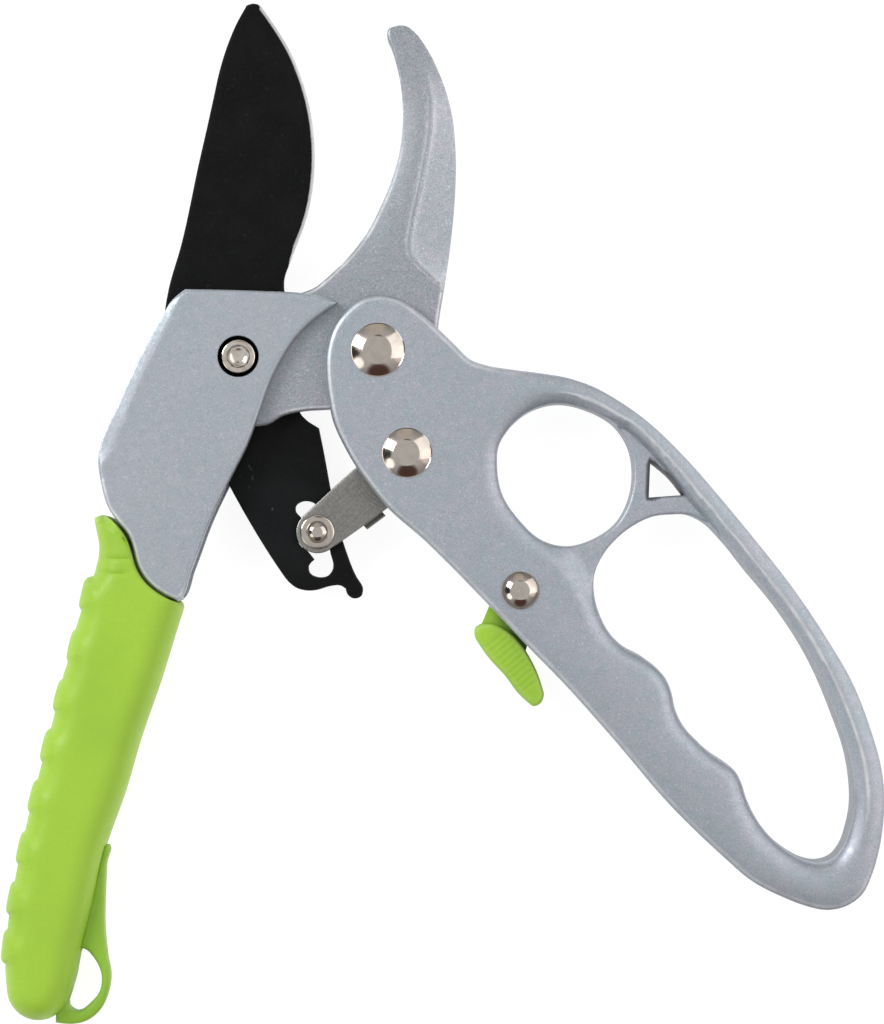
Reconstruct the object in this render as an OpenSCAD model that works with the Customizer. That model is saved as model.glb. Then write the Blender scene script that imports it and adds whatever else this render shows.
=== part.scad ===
// Ratchet pruning shears, lying flat and open.
// Millimetres. X to the right, Y towards the jaws, Z up from the plane the shears lie on.
// The origin is on the blade pivot's axis, in that plane.

/* [Thicknesses] */
// Height of the domed rivet heads above the castings
head_rise = 1.6; // [1.2:0.1:1.8]
// Thickness of the castings' rear cheeks
rear_cheek_t = 1.9; // [1.6:0.1:1.9]
// Thickness of the steel of the ratchet link
link_t = 1.0; // [0.8:0.1:1.1]
// Thickness of the blade and its ratchet tail
blade_t = 2.8; // [2.4:0.1:2.8]
// Thickness of the hook
hook_t = 3.9; // [3.4:0.1:3.9]
// Thickness of the castings' front cheeks
front_cheek_t = 2.8; // [2.6:0.1:3.2]

/* [Pivots] */
// Diameter of the blade pivot bolt
bolt_d = 6; // [5:0.1:6]
// Outer diameter of the bush that the blade turns on
pivot_bush_d = 8; // [7.8:0.1:8.4]
// Diameter of the handle rivet
handle_rivet_d = 6.4; // [5.6:0.1:6.4]
// Diameter of the link rivet
link_rivet_d = 5; // [4.4:0.1:5]
// Diameter of the catch rivet
catch_rivet_d = 4; // [3.4:0.1:4.4]
// Diameter of the ratchet pin
pin_d = 2.5; // [2:0.1:2.5]
// Radial clearance of every joint that turns on a pin or bush
running_gap = 0.05; // [0.02:0.01:0.09]

/* [Heads] */
// Diameter of the handle rivet's heads
handle_head_d = 10.7; // [9.5:0.1:11]
// Diameter of the link rivet's heads
link_head_d = 9.9; // [9:0.1:10]
// Diameter of the catch rivet's heads
catch_head_d = 7.5; // [6.5:0.1:8]
// Diameter of the flange that holds the ratchet pin in the link
pin_flange_d = 7; // [5.8:0.1:7.6]
// Diameter of the ratchet pin's domed head, on the flange
pin_head_d = 4.2; // [3.6:0.1:5]
// Diameter of the pivot bolt's head
bolt_head_d = 6.9; // [6.6:0.1:7.4]
// Diameter of the round recess that the bolt's head sits in
recess_d = 7.9; // [7.7:0.1:9]
// Hexagon of the bolt's socket, across its corners
socket_d = 4.7; // [3:0.1:5]

/* [Grip] */
// Number of raised ribs down the grip's outer edge
rib_count = 8; // [4:1:10]
// Height of each rib above the grip's edge
rib_rise = 0.9; // [0.4:0.1:1.2]
// Length of each rib along the grip
rib_length = 4; // [2:0.5:6]
// Half the width of the tang inside the grip
tang_half_w = 4.4; // [3:0.1:4.6]

/* [Springs] */
// Wire diameter of the handle's return spring
return_wire_d = 1.1; // [0.8:0.05:1.2]
// Wire diameter of the link's spring
link_wire_d = 0.7; // [0.5:0.05:0.75]

/* [Hidden] */
$fn = 64;

// Gap between parts that slide flat on each other, and between parts that are clamped
slide_gap = 0.1;
clear_gap = 0.2;
fit_gap = 0.02;

// Heights of the layers, from the rear to the front
z_rear = head_rise;
z_rear_in = z_rear + rear_cheek_t;
z_link_rear = z_rear_in + clear_gap;
z_blade = z_link_rear + link_t + clear_gap;
z_blade_top = z_blade + blade_t;
z_hook = z_blade_top + slide_gap;
z_hook_top = z_hook + hook_t;
z_link_front = z_blade_top + clear_gap;
z_front_in = z_hook_top + slide_gap;
z_front = z_front_in + front_cheek_t;
z_top = z_front + head_rise;
z_mid = (z_rear + z_front) / 2;

// Pivot axes, as the shears lie
pivot_at = [0, 0];
handle_at = [27.8, 1.3];
link_at = [33.6, -19.2];
pin_at = [15.6, -35];
catch_at = [56.2, -46.6];

// Bushes and the bores that turn on them
pivot_bush_r = pivot_bush_d / 2;
handle_bush_r = handle_rivet_d / 2 + 1;
link_bush_r = link_rivet_d / 2 + 0.8;
catch_r = catch_rivet_d / 2;
bolt_r = bolt_d / 2;

// ---- Curves -------------------------------------------------------------

curve_steps = 3;

function heading(a, b) = (b - a) / norm(b - a);

// Slope of a smooth chain at point i, weighted by the chords on both sides
function slope(p, i, closed) =
    let (n = len(p))
    !closed && i == 0 ? heading(p[0], p[1]) :
    !closed && i == n - 1 ? heading(p[n - 2], p[n - 1]) :
    let (a = p[(i + n - 1) % n], b = p[i], c = p[(i + 1) % n])
    let (u = norm(b - a), v = norm(c - b))
    (heading(a, b) * v + heading(b, c) * u) / (u + v);

// Point on the cubic from a to b, at t from 0 to 1
function cubic(a, b, slope_a, slope_b, t) =
    let (l = norm(b - a), s = t * t, c = s * t)
    a * (2 * c - 3 * s + 1) + slope_a * l * (c - 2 * s + t)
    + b * (3 * s - 2 * c) + slope_b * l * (c - s);

// Smooth chain through the points p, without its last point when it is open
function chain(p, closed = false) =
    let (n = len(p), steps = n == 2 ? 1 : curve_steps)
    [for (i = [0 : n - (closed ? 1 : 2)], k = [0 : steps - 1])
        let (b = (i + 1) % n)
        cubic(p[i], p[b], slope(p, i, closed), slope(p, b, closed), k / steps)];

// Closed outline of smooth stretches, with a corner at the first point of each
function outline(stretches) =
    let (n = len(stretches))
    [for (i = [0 : n - 1]) each chain([each stretches[i], stretches[(i + 1) % n][0]])];

// Points on an arc round c, from angle a to angle b
function arc(c, r, a, b, steps) =
    [for (k = [0 : steps]) let (t = a + (b - a) * k / steps) c + r * [cos(t), sin(t)]];

// Flat bar with round ends of radius r at a and q at b
module bar(a, r, b, q) {
    l = norm(b - a);
    turn = atan2(b[1] - a[1], b[0] - a[0]);
    lean = acos((r - q) / l);
    translate(a) circle(r);
    translate(b) circle(q);
    translate(a) rotate(turn) polygon([
        r * [cos(lean), sin(lean)], [l, 0] + q * [cos(lean), sin(lean)],
        [l, 0] + q * [cos(lean), -sin(lean)], r * [cos(lean), -sin(lean)]]);
}

// Everything in a flat shape, between two heights
module slab(low, high) translate([0, 0, low]) linear_extrude(high - low) children();

// Upright rod or bore
module rod(at, r, low, high) translate([at[0], at[1], low]) cylinder(r = r, h = high - low);

// Upright tube
module tube(at, r_out, r_in, low, high) difference() {
    rod(at, r_out, low, high);
    rod(at, r_in, low - 1, high + 1);
}

// Shallow dome that stands on z = 0
module dome(r, h) {
    ball_r = (r * r + h * h) / (2 * h);
    intersection() {
        translate([0, 0, h - ball_r]) sphere(ball_r, $fn = 96);
        cylinder(r = r, h = h);
    }
}

// Rivet right through a casting, with a domed head on both sides
module rivet(at, shank_r, head_r) translate([at[0], at[1], 0]) {
    translate([0, 0, z_rear]) cylinder(r = shank_r, h = z_front - z_rear);
    translate([0, 0, z_front]) dome(head_r, head_rise);
    translate([0, 0, z_rear]) mirror([0, 0, 1]) dome(head_r, head_rise);
}

// Wire swept round an upright axis: turns of it, rising by pitch each turn
module coil(at, r, wire_r, low, pitch, turns) {
    sides = 8;
    rings = ceil(turns * 20);
    path = [for (i = [0 : rings])
        let (t = i / rings * turns)
        [at[0] + r * cos(360 * t), at[1] + r * sin(360 * t), low + wire_r + pitch * t]];
    points = [for (i = [0 : rings], k = [0 : sides - 1])
        let (t = i / rings * turns * 360, c = 360 * k / sides)
        path[i] + wire_r * [cos(c) * cos(t), cos(c) * sin(t), sin(c)]];
    sides_between = [for (i = [0 : rings - 1], k = [0 : sides - 1])
        let (a = i * sides + k, b = i * sides + (k + 1) % sides)
        [a, b, b + sides, a + sides]];
    first_end = [for (k = [sides - 1 : -1 : 0]) k];
    last_end = [for (k = [0 : sides - 1]) rings * sides + k];
    polyhedron(points, [first_end, each sides_between, last_end]);
}

// ---- Blade --------------------------------------------------------------

// The cutting edge is one arc
edge_at = [-33.1, 40.4];
edge_r = 48.1;
edge_from = 39.5;
edge_to = -26;
// The bevel is ground on the rear face, this far in from the edge
bevel_w = 4.2;
// What the grinding leaves of the blade's thickness at the edge
edge_land = 0.3;
// The edge is ground only above this height
bevel_from_y = 16.5;

blade_outline = outline([
    [[1.3, 70.9]],
    [[2.5, 71.3]],
    arc(edge_at, edge_r, edge_from, edge_to, 5),
    [[8.8, 15.4], [8.8, 13.8], [11, 9.5], [12.6, 2], [12.4, -6], [12, -11]],
    [[15.8, -14.1]],
    [[16.3, -16.5]],
    [[20.7, -37.1], [22.5, -42.2]],
    [[24.7, -46.8], [24.4, -47.9], [22.8, -48.4], [21.6, -47.6]],
    [[21.2, -46.4], [20.2, -45.8], [18.2, -45.9], [15.4, -46.7], [13.3, -46.8],
        [11.4, -46.3], [10, -45.3], [9.1, -44.3]],
    [[8.6, -43.6]],
    [[-8.8, -12.9], [-13.2, -3.5], [-15.1, 3], [-15.2, 8.8]],
    [[-11.9, 22.6], [-6.3, 48], [-2.8, 62.2], [-0.8, 67.1]],
]);

// Ratchet slot: three notches to the left of a channel that the pin can slide in
slot_outline = outline([
    [[12, -31.9], [11.2, -31], [11.2, -29.8], [12.6, -28.9], [14.6, -29.1], [16.3, -30.6],
        [17.3, -34.8], [18.2, -39.5], [18.7, -42.3], [17.7, -43.8], [15.5, -44.1],
        [14, -43.3], [13.8, -41.8]],
    [[14.9, -40.6], [13.5, -38.9], [11.9, -37.6], [11.5, -36], [12, -34.9]],
    [[12.9, -33.6]],
]);

// Bevel along the edge: what a grinding cone takes off the rear face
module grind() {
    lean = bevel_w / (blade_t - edge_land);
    foot_r = edge_r - bevel_w;
    brow = blade_t - edge_land / 2;
    intersection() {
        translate([edge_at[0], edge_at[1], z_blade])
            rotate_extrude($fn = 180) polygon([
                [foot_r - lean, -1], [edge_r + 8, -1], [edge_r + 8, brow],
                [foot_r + lean * brow, brow]]);
        translate([-20, bevel_from_y, 0]) cube([60, 80, 30]);
    }
}

module blade() color([0.12, 0.12, 0.13]) difference() {
    slab(z_blade, z_blade_top) difference() {
        polygon(blade_outline);
        polygon(slot_outline);
    }
    grind();
    rod(pivot_at, pivot_bush_r + running_gap, z_blade - 1, z_blade_top + 1);
}

// ---- Hook, fixed in the left handle's head -------------------------------

hook_outline = outline([
    [[29.6, 64.3], [29.8, 65.6], [31, 66.2], [33.4, 66.3], [35.1, 65.1], [37.5, 61.9],
        [40.4, 56], [42.5, 49.1], [43.3, 42], [43.2, 32], [42.2, 21.7], [40, 7.4],
        [38.9, 0.6], [35.8, -5.2], [30.8, -8.6], [24.5, -10], [18.2, -10.5],
        [12.2, -10.9], [8.6, -11.8], [5.9, -13.4], [0.5, -13.6], [-5.6, -11.2],
        [-10.2, -6.4], [-11.7, 0], [-10.4, 6], [-5.6, 10.6], [2, 12.2], [10, 12.4],
        [14.7, 13.7], [18.5, 16.7], [22.3, 20.5], [25.7, 25.1], [28.4, 30.4],
        [30.5, 35.5], [32, 41], [32.7, 47.4], [32.4, 54], [31.1, 60]],
]);

dowel_at = [8.4, 5.6];
dowel_r = 1.5;
dowel_depth = 1.8;

module hook() color([0.65, 0.67, 0.7]) difference() {
    slab(z_hook, z_hook_top) polygon(hook_outline);
    rod(pivot_at, bolt_r + fit_gap, z_hook - 1, z_hook_top + 1);
    rod(handle_at, handle_bush_r + running_gap, z_hook - 1, z_hook_top + 1);
    rod(dowel_at, dowel_r + fit_gap, z_hook_top - dowel_depth, z_hook_top + 1);
}

// Locates the hook in the front cheek, beside the bolt
module hook_dowel() color([0.6, 0.6, 0.6])
    rod(dowel_at, dowel_r, z_hook_top - dowel_depth + fit_gap, z_front_in + dowel_depth - fit_gap);

// ---- Left handle: head casting with two cheeks, and its tang -------------

head_outline = outline([
    [[-10.6, 13.4], [-3, 13.3], [5.9, 13], [13.1, 12.6], [17.1, 11.8]],
    [[19.8, 10.7], [14.8, 7.1], [11.3, 3.6], [8.6, -0.5], [6.4, -4.9], [4.8, -9.4],
        [3.3, -13.8], [1.5, -18.3], [-0.8, -22.8], [-6.1, -33.9], [-8.4, -40.2]],
    [[-11.5, -48.4]],
    [[-11.9, -48.8], [-15.8, -46.8], [-18.9, -43.8], [-20.4, -40.7], [-21, -38.1],
        [-22, -35.5], [-24, -33], [-26, -30], [-27.3, -25.5], [-27.9, -20.5],
        [-27.1, -16.5], [-24.4, -10.5], [-21.5, -4], [-18.6, 2], [-15.1, 8.2],
        [-13.2, 11.2]],
]);

// Right-hand limit of the web that joins the two cheeks
web_limit = [
    [-16.6, 8], [-16.4, 3], [-15.4, -5], [-15.2, -14], [-14.6, -24], [-13.4, -34],
    [-12.4, -42], [-11.3, -50], [-40, -50], [-40, 8],
];

tang_top = [-17.5, -41];
tang_end = [-37.1, -117.4];
tang_z = [z_mid - 3.2, z_mid + 3.2];

module tang(extra) slab(tang_z[0] - extra, tang_z[1] + extra)
    bar(tang_top, tang_half_w + extra, tang_end, tang_half_w - 0.4 + extra);

module left_handle() color([0.66, 0.69, 0.72]) difference() {
    union() {
        slab(z_rear, z_rear_in) polygon(head_outline);
        slab(z_front_in, z_front) polygon(head_outline);
        slab(z_rear_in, z_front_in) intersection() {
            polygon(head_outline);
            polygon(web_limit);
        }
        tang(0);
    }
    rod(pivot_at, bolt_r + fit_gap, z_rear - 1, z_front + 1);
    rod(pivot_at, recess_d / 2, bolt_seat_z, z_front + 1);
    rod(dowel_at, dowel_r + fit_gap, z_front_in - 1, z_front_in + dowel_depth);
}

// ---- Blade pivot: bolt, nut, bush and washer ------------------------------

bolt_seat_z = z_front_in + 0.9;
bolt_head_t = 1.6;
socket_depth = 1.1;
nut_corner_d = 11.5;
washer_r = 7.5;

module pivot_bolt() color([0.72, 0.69, 0.66]) difference() {
    union() {
        cylinder(r = bolt_r, h = bolt_seat_z);
        translate([0, 0, bolt_seat_z]) cylinder(r = bolt_head_d / 2, h = bolt_head_t);
    }
    translate([0, 0, bolt_seat_z + bolt_head_t - socket_depth])
        cylinder(r = socket_d / 2, h = bolt_head_t, $fn = 6);
}

module pivot_nut() color([0.7, 0.68, 0.66]) difference() {
    cylinder(r = nut_corner_d / 2, h = z_rear, $fn = 6);
    translate([0, 0, -1]) cylinder(r = bolt_r + fit_gap, h = z_rear + 2);
}

module pivot_bush() color([0.75, 0.62, 0.4])
    tube(pivot_at, pivot_bush_r, bolt_r + fit_gap, z_rear_in, z_hook);

module blade_washer() color([0.75, 0.62, 0.4])
    tube(pivot_at, washer_r, pivot_bush_r + fit_gap, z_rear_in, z_blade - slide_gap);

// ---- Grip and hang loop ---------------------------------------------------

grip_outline = outline([
    [[-29.2, -32.2], [-27.6, -31.6], [-25.9, -32.2], [-23.9, -33.9], [-22.3, -36.2],
        [-21.3, -38.9], [-20.3, -42.2], [-18.6, -44.9], [-16.3, -46.9], [-13.6, -48.5],
        [-12, -49.2]],
    [[-11.2, -50.2], [-12.2, -53.3], [-15.6, -64.3], [-19.9, -76.8], [-22.8, -86.7],
        [-27.2, -99.4], [-29.4, -109.6], [-31.5, -117.9], [-33.7, -127.3], [-35.3, -130.5],
        [-38.4, -132.7], [-41.4, -132.9], [-44.1, -131.7], [-46.1, -129.3],
        [-46.9, -125], [-46.8, -116.4], [-44.7, -102.4], [-41.4, -87.9], [-37.6, -73.2],
        [-34, -58.1], [-30.6, -47], [-28.8, -41.9], [-28.2, -38], [-28.8, -34.6]],
]);

// Middle of the grip's ribbed edge, from the lowest rib to the highest
rib_line = [
    [-47.1, -118], [-45.9, -108.3], [-43.9, -98.2], [-41.5, -87.9], [-39, -77.7],
    [-36.4, -67.6], [-33.7, -57.7], [-31.2, -47.3],
];
rib_z = [z_mid - 5.2, z_mid + 5.2];

module ribs() for (i = [0 : rib_count - 1]) {
    place = i * (len(rib_line) - 1) / (rib_count - 1);
    k = min(floor(place), len(rib_line) - 2);
    along = heading(rib_line[k], rib_line[k + 1]);
    middle = rib_line[k] + (rib_line[k + 1] - rib_line[k]) * (place - k);
    inner = middle + 1.1 * [along[1], -along[0]];
    reach = along * rib_length / 2;
    slab(rib_z[0], rib_z[1]) bar(inner - reach, rib_rise + 0.8, inner + reach, rib_rise + 0.81);
}

loop_outline = outline([
    [[-36.9, -133.4], [-33.7, -133.7], [-30.8, -133.1], [-27.8, -130.7], [-26.4, -127.5],
        [-25.9, -124.2], [-26.5, -120.4], [-27.1, -114.4], [-27, -106.7], [-26.7, -101.3],
        [-26.2, -97.9]],
    [[-27.5, -97.9], [-30.9, -112.4], [-34.1, -124.5], [-36.6, -130]],
]);
loop_hole = chain([
    [-31.4, -118.5], [-28.8, -121], [-27.7, -123.8], [-28, -126.9], [-29.9, -129.5],
    [-32.6, -131.2], [-34.2, -130.1], [-33.6, -127], [-32.4, -122],
], closed = true);
loop_z = [z_mid - 2.2, z_mid + 2.2];

module hang_loop() color([0.5, 0.7, 0.2]) slab(loop_z[0], loop_z[1]) difference() {
    polygon(loop_outline);
    polygon(loop_hole);
}

module grip() color([0.64, 0.8, 0.29]) difference() {
    union() {
        slab(0, z_top) polygon(grip_outline);
        ribs();
    }
    difference() {
        tang(fit_gap);
        slab(-1, z_top + 1) polygon(head_outline);
    }
    slab(loop_z[0] - fit_gap, loop_z[1] + fit_gap) polygon(loop_outline);
}

// ---- Guard handle ---------------------------------------------------------

guard_outline = chain([
    [28.3, 12.3], [24.7, 11.6], [21.1, 8.9], [18.9, 5.8], [17.6, 1.8], [17.3, -2.7],
    [17.8, -7.6], [18.9, -13], [21.1, -17.9], [23.4, -21.9], [26, -25.5], [29.8, -30.2],
    [36.9, -36.5], [43.2, -42.7], [49.5, -49.2], [57.3, -57.4], [64.9, -65.2],
    [75.2, -76.8], [86, -89.4], [96.1, -99.2], [102.8, -104.9], [108.5, -107.8],
    [112.9, -109.5], [117.3, -110.4], [121, -109.7], [124.4, -107.3], [126.4, -103.3],
    [127.7, -98.9], [128.7, -92.2], [128.8, -86.8], [128.1, -81.4], [126.4, -75.3],
    [122.1, -64.3], [117.5, -56.5], [110.9, -46.6], [103.5, -37.1], [97.3, -29.6],
    [89.6, -20.7], [80.9, -12.4], [75.8, -8.8], [71, -6.1], [65.9, -4.3], [60.3, -3.3],
    [54, -2.5], [49.3, -1.7], [46.1, -0.5], [43.7, 1.8], [40.1, 5.3], [35.4, 9.4],
    [32.3, 11.4],
], closed = true);

ring_hole = chain([
    [51.6, -21.5], [51.8, -18.3], [54, -14.4], [58.4, -10.8], [63.5, -9.4], [69.8, -10.6],
    [75, -13.6], [78.1, -18.3], [78.9, -22.9], [78.1, -28.6], [75.8, -33], [71, -36.5],
    [65.9, -37.9], [60.3, -36.5], [56, -32.6], [52.6, -27.4],
], closed = true);

window_hole = chain([
    [86.5, -31.5], [82.8, -31.9], [78.7, -33.8], [75.4, -36.4], [72.5, -40], [71, -43.7],
    [71, -47.4], [72.1, -51.5], [74.1, -55.2], [76.6, -57.7], [80.7, -60], [83.2, -61.9],
    [85.3, -64.3], [86.5, -67.2], [87.1, -70.1], [88.6, -73.4], [91.5, -76.7],
    [94.8, -79.6], [97.1, -81.1], [99.1, -82.7], [100.3, -84.8], [101.4, -88.2],
    [103.1, -91.8], [105.8, -95.5], [109.5, -98.7], [113, -100.6], [115.9, -101.1],
    [118.6, -100.3], [120.7, -97.9], [122, -94.5], [122.9, -90.2], [122.8, -84.8],
    [121.7, -78.7], [119.6, -72.6], [113.8, -59.4], [107.6, -49.9], [101.4, -42.4],
    [96.4, -36.2], [93.1, -33.1], [89.8, -31.6],
], closed = true);

lightening_hole = outline([
    [[82.2, -20.9]],
    [[81.9, -28.1]],
    [[88.9, -27.6], [86, -24]],
]);

// Where the casting splits into two cheeks, for the hook and the link
cheek_gap = [
    [46, 12], [44.5, 3], [42.2, -4], [41.2, -12], [41, -20], [41.4, -30], [42.6, -36],
    [40, -46], [10, -30], [10, 16],
];

// Pocket of the lock catch
pocket_r = 5.8;
pocket_to = [50.5, -58];

module guard_handle() color([0.68, 0.7, 0.74]) difference() {
    slab(z_rear, z_front) difference() {
        polygon(guard_outline);
        polygon(ring_hole);
        polygon(window_hole);
        polygon(lightening_hole);
    }
    slab(z_rear_in, z_front_in) {
        polygon(cheek_gap);
        bar(catch_at, pocket_r, pocket_to, pocket_r + 2);
    }
    rod(handle_at, handle_rivet_d / 2 + fit_gap, z_rear - 1, z_front + 1);
    rod(link_at, link_rivet_d / 2 + fit_gap, z_rear - 1, z_front + 1);
    rod(catch_at, catch_r + fit_gap, z_rear - 1, z_front + 1);
}

module handle_rivet() color([0.72, 0.68, 0.64])
    rivet(handle_at, handle_rivet_d / 2, handle_head_d / 2);

module link_rivet() color([0.72, 0.68, 0.64])
    rivet(link_at, link_rivet_d / 2, link_head_d / 2);

module catch_rivet() color([0.72, 0.68, 0.64])
    rivet(catch_at, catch_r, catch_head_d / 2);

module handle_bush() color([0.75, 0.62, 0.4])
    tube(handle_at, handle_bush_r, handle_rivet_d / 2 + fit_gap, z_rear_in, z_front_in);

module link_bush() color([0.75, 0.62, 0.4])
    tube(link_at, link_bush_r, link_rivet_d / 2 + fit_gap, z_rear_in, z_front_in);

// Torsion spring that opens the handles, behind the hook
return_coil_r = handle_bush_r + 0.3 + return_wire_d / 2;
return_pitch = return_wire_d + 0.1;
return_turns = 2.5;

module return_spring() color([0.5, 0.5, 0.52])
    coil(handle_at, return_coil_r, return_wire_d / 2, z_rear_in + clear_gap,
        return_pitch, return_turns);

// Torsion spring that presses the ratchet pin into the notches
link_coil_r = link_bush_r + 0.3 + link_wire_d / 2;
link_pitch = link_wire_d + 0.08;
link_turns = 2.25;

module link_spring() color([0.5, 0.5, 0.52])
    coil(link_at, link_coil_r, link_wire_d / 2, z_link_front + link_t + 0.1,
        link_pitch, link_turns);

// ---- Ratchet link and its pin ---------------------------------------------

link_end_r = 4.3;
link_root_r = link_bush_r + 2.05;
link_length = norm(link_at - pin_at);
link_along = heading(pin_at, link_at);
link_across = [link_along[1], -link_along[0]];
// The link's root lies this far below its pivot, so that only its lower edge spreads
link_spread = 0.85;
link_root_at = link_at + link_spread * link_across;
// The bridge joins the two plates along the link's lower edge
bridge_from = 7.8;
bridge_length = 4.6;
bridge_t = 1.3;
bridge_root = 0.6;

module link_plate(low) difference() {
    slab(low, low + link_t) bar(pin_at, link_end_r, link_root_at, link_root_r);
    rod(link_at, link_bush_r + running_gap, low - 1, low + link_t + 1);
    rod(pin_at, pin_d / 2 + fit_gap, low - 1, low + link_t + 1);
}

// Point of the bridge: along the link from its pin, and out from its lower edge
function bridge_point(along, out) =
    let (spread = (link_root_r + link_spread - link_end_r) / link_length)
    pin_at + link_along * along + link_across * (link_end_r + spread * along + out);

module bridge() slab(z_link_rear, z_link_front + link_t) polygon([
    bridge_point(bridge_from, -bridge_root),
    bridge_point(bridge_from, bridge_t),
    bridge_point(bridge_from + bridge_length, bridge_t),
    bridge_point(bridge_from + bridge_length, -bridge_root),
]);

module link() color([0.5, 0.5, 0.49]) {
    link_plate(z_link_rear);
    link_plate(z_link_front);
    bridge();
}

pin_head_t = 1.4;
pin_flange_t = 0.5;

module ratchet_pin() color([0.72, 0.69, 0.66]) {
    rod(pin_at, pin_d / 2, z_link_rear, z_link_front + link_t);
    translate([pin_at[0], pin_at[1], z_link_front + link_t]) {
        cylinder(r = pin_flange_d / 2, h = pin_flange_t);
        translate([0, 0, pin_flange_t]) dome(pin_head_d / 2, pin_head_t - pin_flange_t);
    }
}

// ---- Lock catch -----------------------------------------------------------

catch_boss_r = 4.6;
catch_washer_t = 0.6;
// How far the web lies below the front of the pad
catch_web_drop = 1.8;
catch_z = [z_rear_in + clear_gap, z_front_in - clear_gap];
catch_boss_top = z_front_in - catch_washer_t - slide_gap;
// The rear half stays clear of the tail's foot; the front half passes in front of it
catch_split_z = z_blade_top + clear_gap;

pad_outline = outline([
    [[48.3, -53.5], [47.3, -54.2], [47.1, -55.6], [48.2, -57.8], [53.2, -63.8],
        [57.6, -69], [59, -69.9], [60.3, -69.3], [61, -67.7], [60.6, -65.9],
        [58.6, -60.9], [56.6, -57.7], [53.7, -54.8], [50.4, -53.3]],
]);
// Behind the pad: a nose at its upper left, which stops the foot when the catch is turned
pad_rear_outline = outline([
    [[50.1, -58.4], [50.3, -57.3], [51, -56.9], [51.7, -57.4], [52.6, -58.6],
        [56.6, -59.8], [58.4, -61.8], [60, -67], [59.4, -68.6], [58, -68.4],
        [54.6, -64.2], [51.6, -60.6]],
]);
catch_web = outline([
    [[50.2, -49.5], [48.4, -53.8]],
    [[52, -60]],
    [[57.4, -58.8]],
    [[60, -49]],
]);

module lock_catch() color([0.61, 0.75, 0.3]) difference() {
    union() {
        rod(catch_at, catch_boss_r, catch_z[0], catch_boss_top);
        slab(catch_split_z, catch_z[1]) polygon(pad_outline);
        slab(catch_split_z, catch_z[1] - catch_web_drop) polygon(catch_web);
        slab(catch_z[0], catch_split_z) polygon(pad_rear_outline);
    }
    rod(catch_at, catch_r + running_gap, 0, z_top);
}

// Spring washer that holds the catch where it is put
module catch_washer() color([0.6, 0.6, 0.6])
    tube(catch_at, catch_boss_r - 0.6, catch_r + fit_gap, z_front_in - catch_washer_t, z_front_in);

hook();
left_handle();
hook_dowel();
grip();
hang_loop();
pivot_bolt();
pivot_nut();
pivot_bush();
blade_washer();
blade();
guard_handle();
handle_rivet();
handle_bush();
return_spring();
link_rivet();
link_bush();
link_spring();
catch_rivet();
catch_washer();
link();
ratchet_pin();
lock_catch();
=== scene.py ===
import math

import bmesh
import bpy
import numpy as np
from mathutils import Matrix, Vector
from mathutils.geometry import delaunay_2d_cdt


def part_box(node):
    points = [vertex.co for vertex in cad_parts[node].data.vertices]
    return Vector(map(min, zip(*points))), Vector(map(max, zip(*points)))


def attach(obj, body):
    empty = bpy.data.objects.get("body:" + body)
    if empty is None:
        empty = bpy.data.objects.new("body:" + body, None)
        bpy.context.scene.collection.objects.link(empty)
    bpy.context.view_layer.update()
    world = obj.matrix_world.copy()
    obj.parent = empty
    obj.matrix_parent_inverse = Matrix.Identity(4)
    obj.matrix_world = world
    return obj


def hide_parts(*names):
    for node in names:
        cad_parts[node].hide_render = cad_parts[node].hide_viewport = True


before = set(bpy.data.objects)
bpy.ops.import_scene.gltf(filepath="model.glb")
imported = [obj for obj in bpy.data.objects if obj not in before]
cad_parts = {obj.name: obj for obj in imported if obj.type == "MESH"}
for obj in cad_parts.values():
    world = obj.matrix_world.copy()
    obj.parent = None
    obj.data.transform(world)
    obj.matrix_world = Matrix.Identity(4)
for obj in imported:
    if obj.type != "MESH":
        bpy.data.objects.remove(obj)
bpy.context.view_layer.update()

# Ratchet pruning shears. Shapes are worked out in millimetres and scaled when a mesh is made.
MM = 0.001
CHUNK = 1500
TINY = 1e-9
# An outline that turns by more than this many degrees at a point has a corner there
CORNER_TURN = 38


# ---- Places, from the frame ------------------------------------------------

def box_mm(node):
    low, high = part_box(node)
    return np.array(low) / MM, np.array(high) / MM


def centre(node):
    low, high = box_mm(node)
    return (low[:2] + high[:2]) / 2


def levels(node):
    low, high = box_mm(node)
    return low[2], high[2]


Z_REAR, Z_FRONT = levels("guard_handle")
Z_REAR_IN, Z_FRONT_IN = levels("handle_bush")
Z_BLADE, Z_BLADE_TOP = levels("blade")
Z_HOOK, Z_HOOK_TOP = levels("hook")
Z_LINK, Z_LINK_TOP = levels("link")
Z_GRIP, Z_GRIP_TOP = levels("grip")
Z_LOOP, Z_LOOP_TOP = levels("hang_loop")
Z_CATCH, Z_CATCH_TOP = levels("lock_catch")
Z_MID = (Z_REAR + Z_FRONT) / 2
# The castings' outlines are taken this far below their front faces
BELOW_FACE = 0.5

PIVOT = centre("pivot_bush")
HANDLE = centre("handle_rivet")
LINK_ROOT = centre("link_rivet")
CATCH = centre("catch_rivet")
PIN = centre("ratchet_pin")


# ---- Flat geometry ---------------------------------------------------------

def area(loop):
    x, y = loop[:, 0], loop[:, 1]
    return 0.5 * np.sum(x * np.roll(y, -1) - np.roll(x, -1) * y)


def left_of(heading):
    """The directions to the left of those headings."""
    return np.stack([-heading[:, 1], heading[:, 0]], 1)


def unit(vectors):
    return vectors / np.linalg.norm(vectors, axis=1)[:, None]


def on_circle(at, radius, degrees):
    """Points on a circle, at those angles."""
    angle = np.radians(degrees)
    return np.column_stack([at[0] + radius * np.cos(angle), at[1] + radius * np.sin(angle)])


def wound(loop, left):
    """The loop, counter-clockwise if left."""
    loop = np.asarray(loop, float)
    return loop if (area(loop) > 0) == left else loop[::-1]


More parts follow.
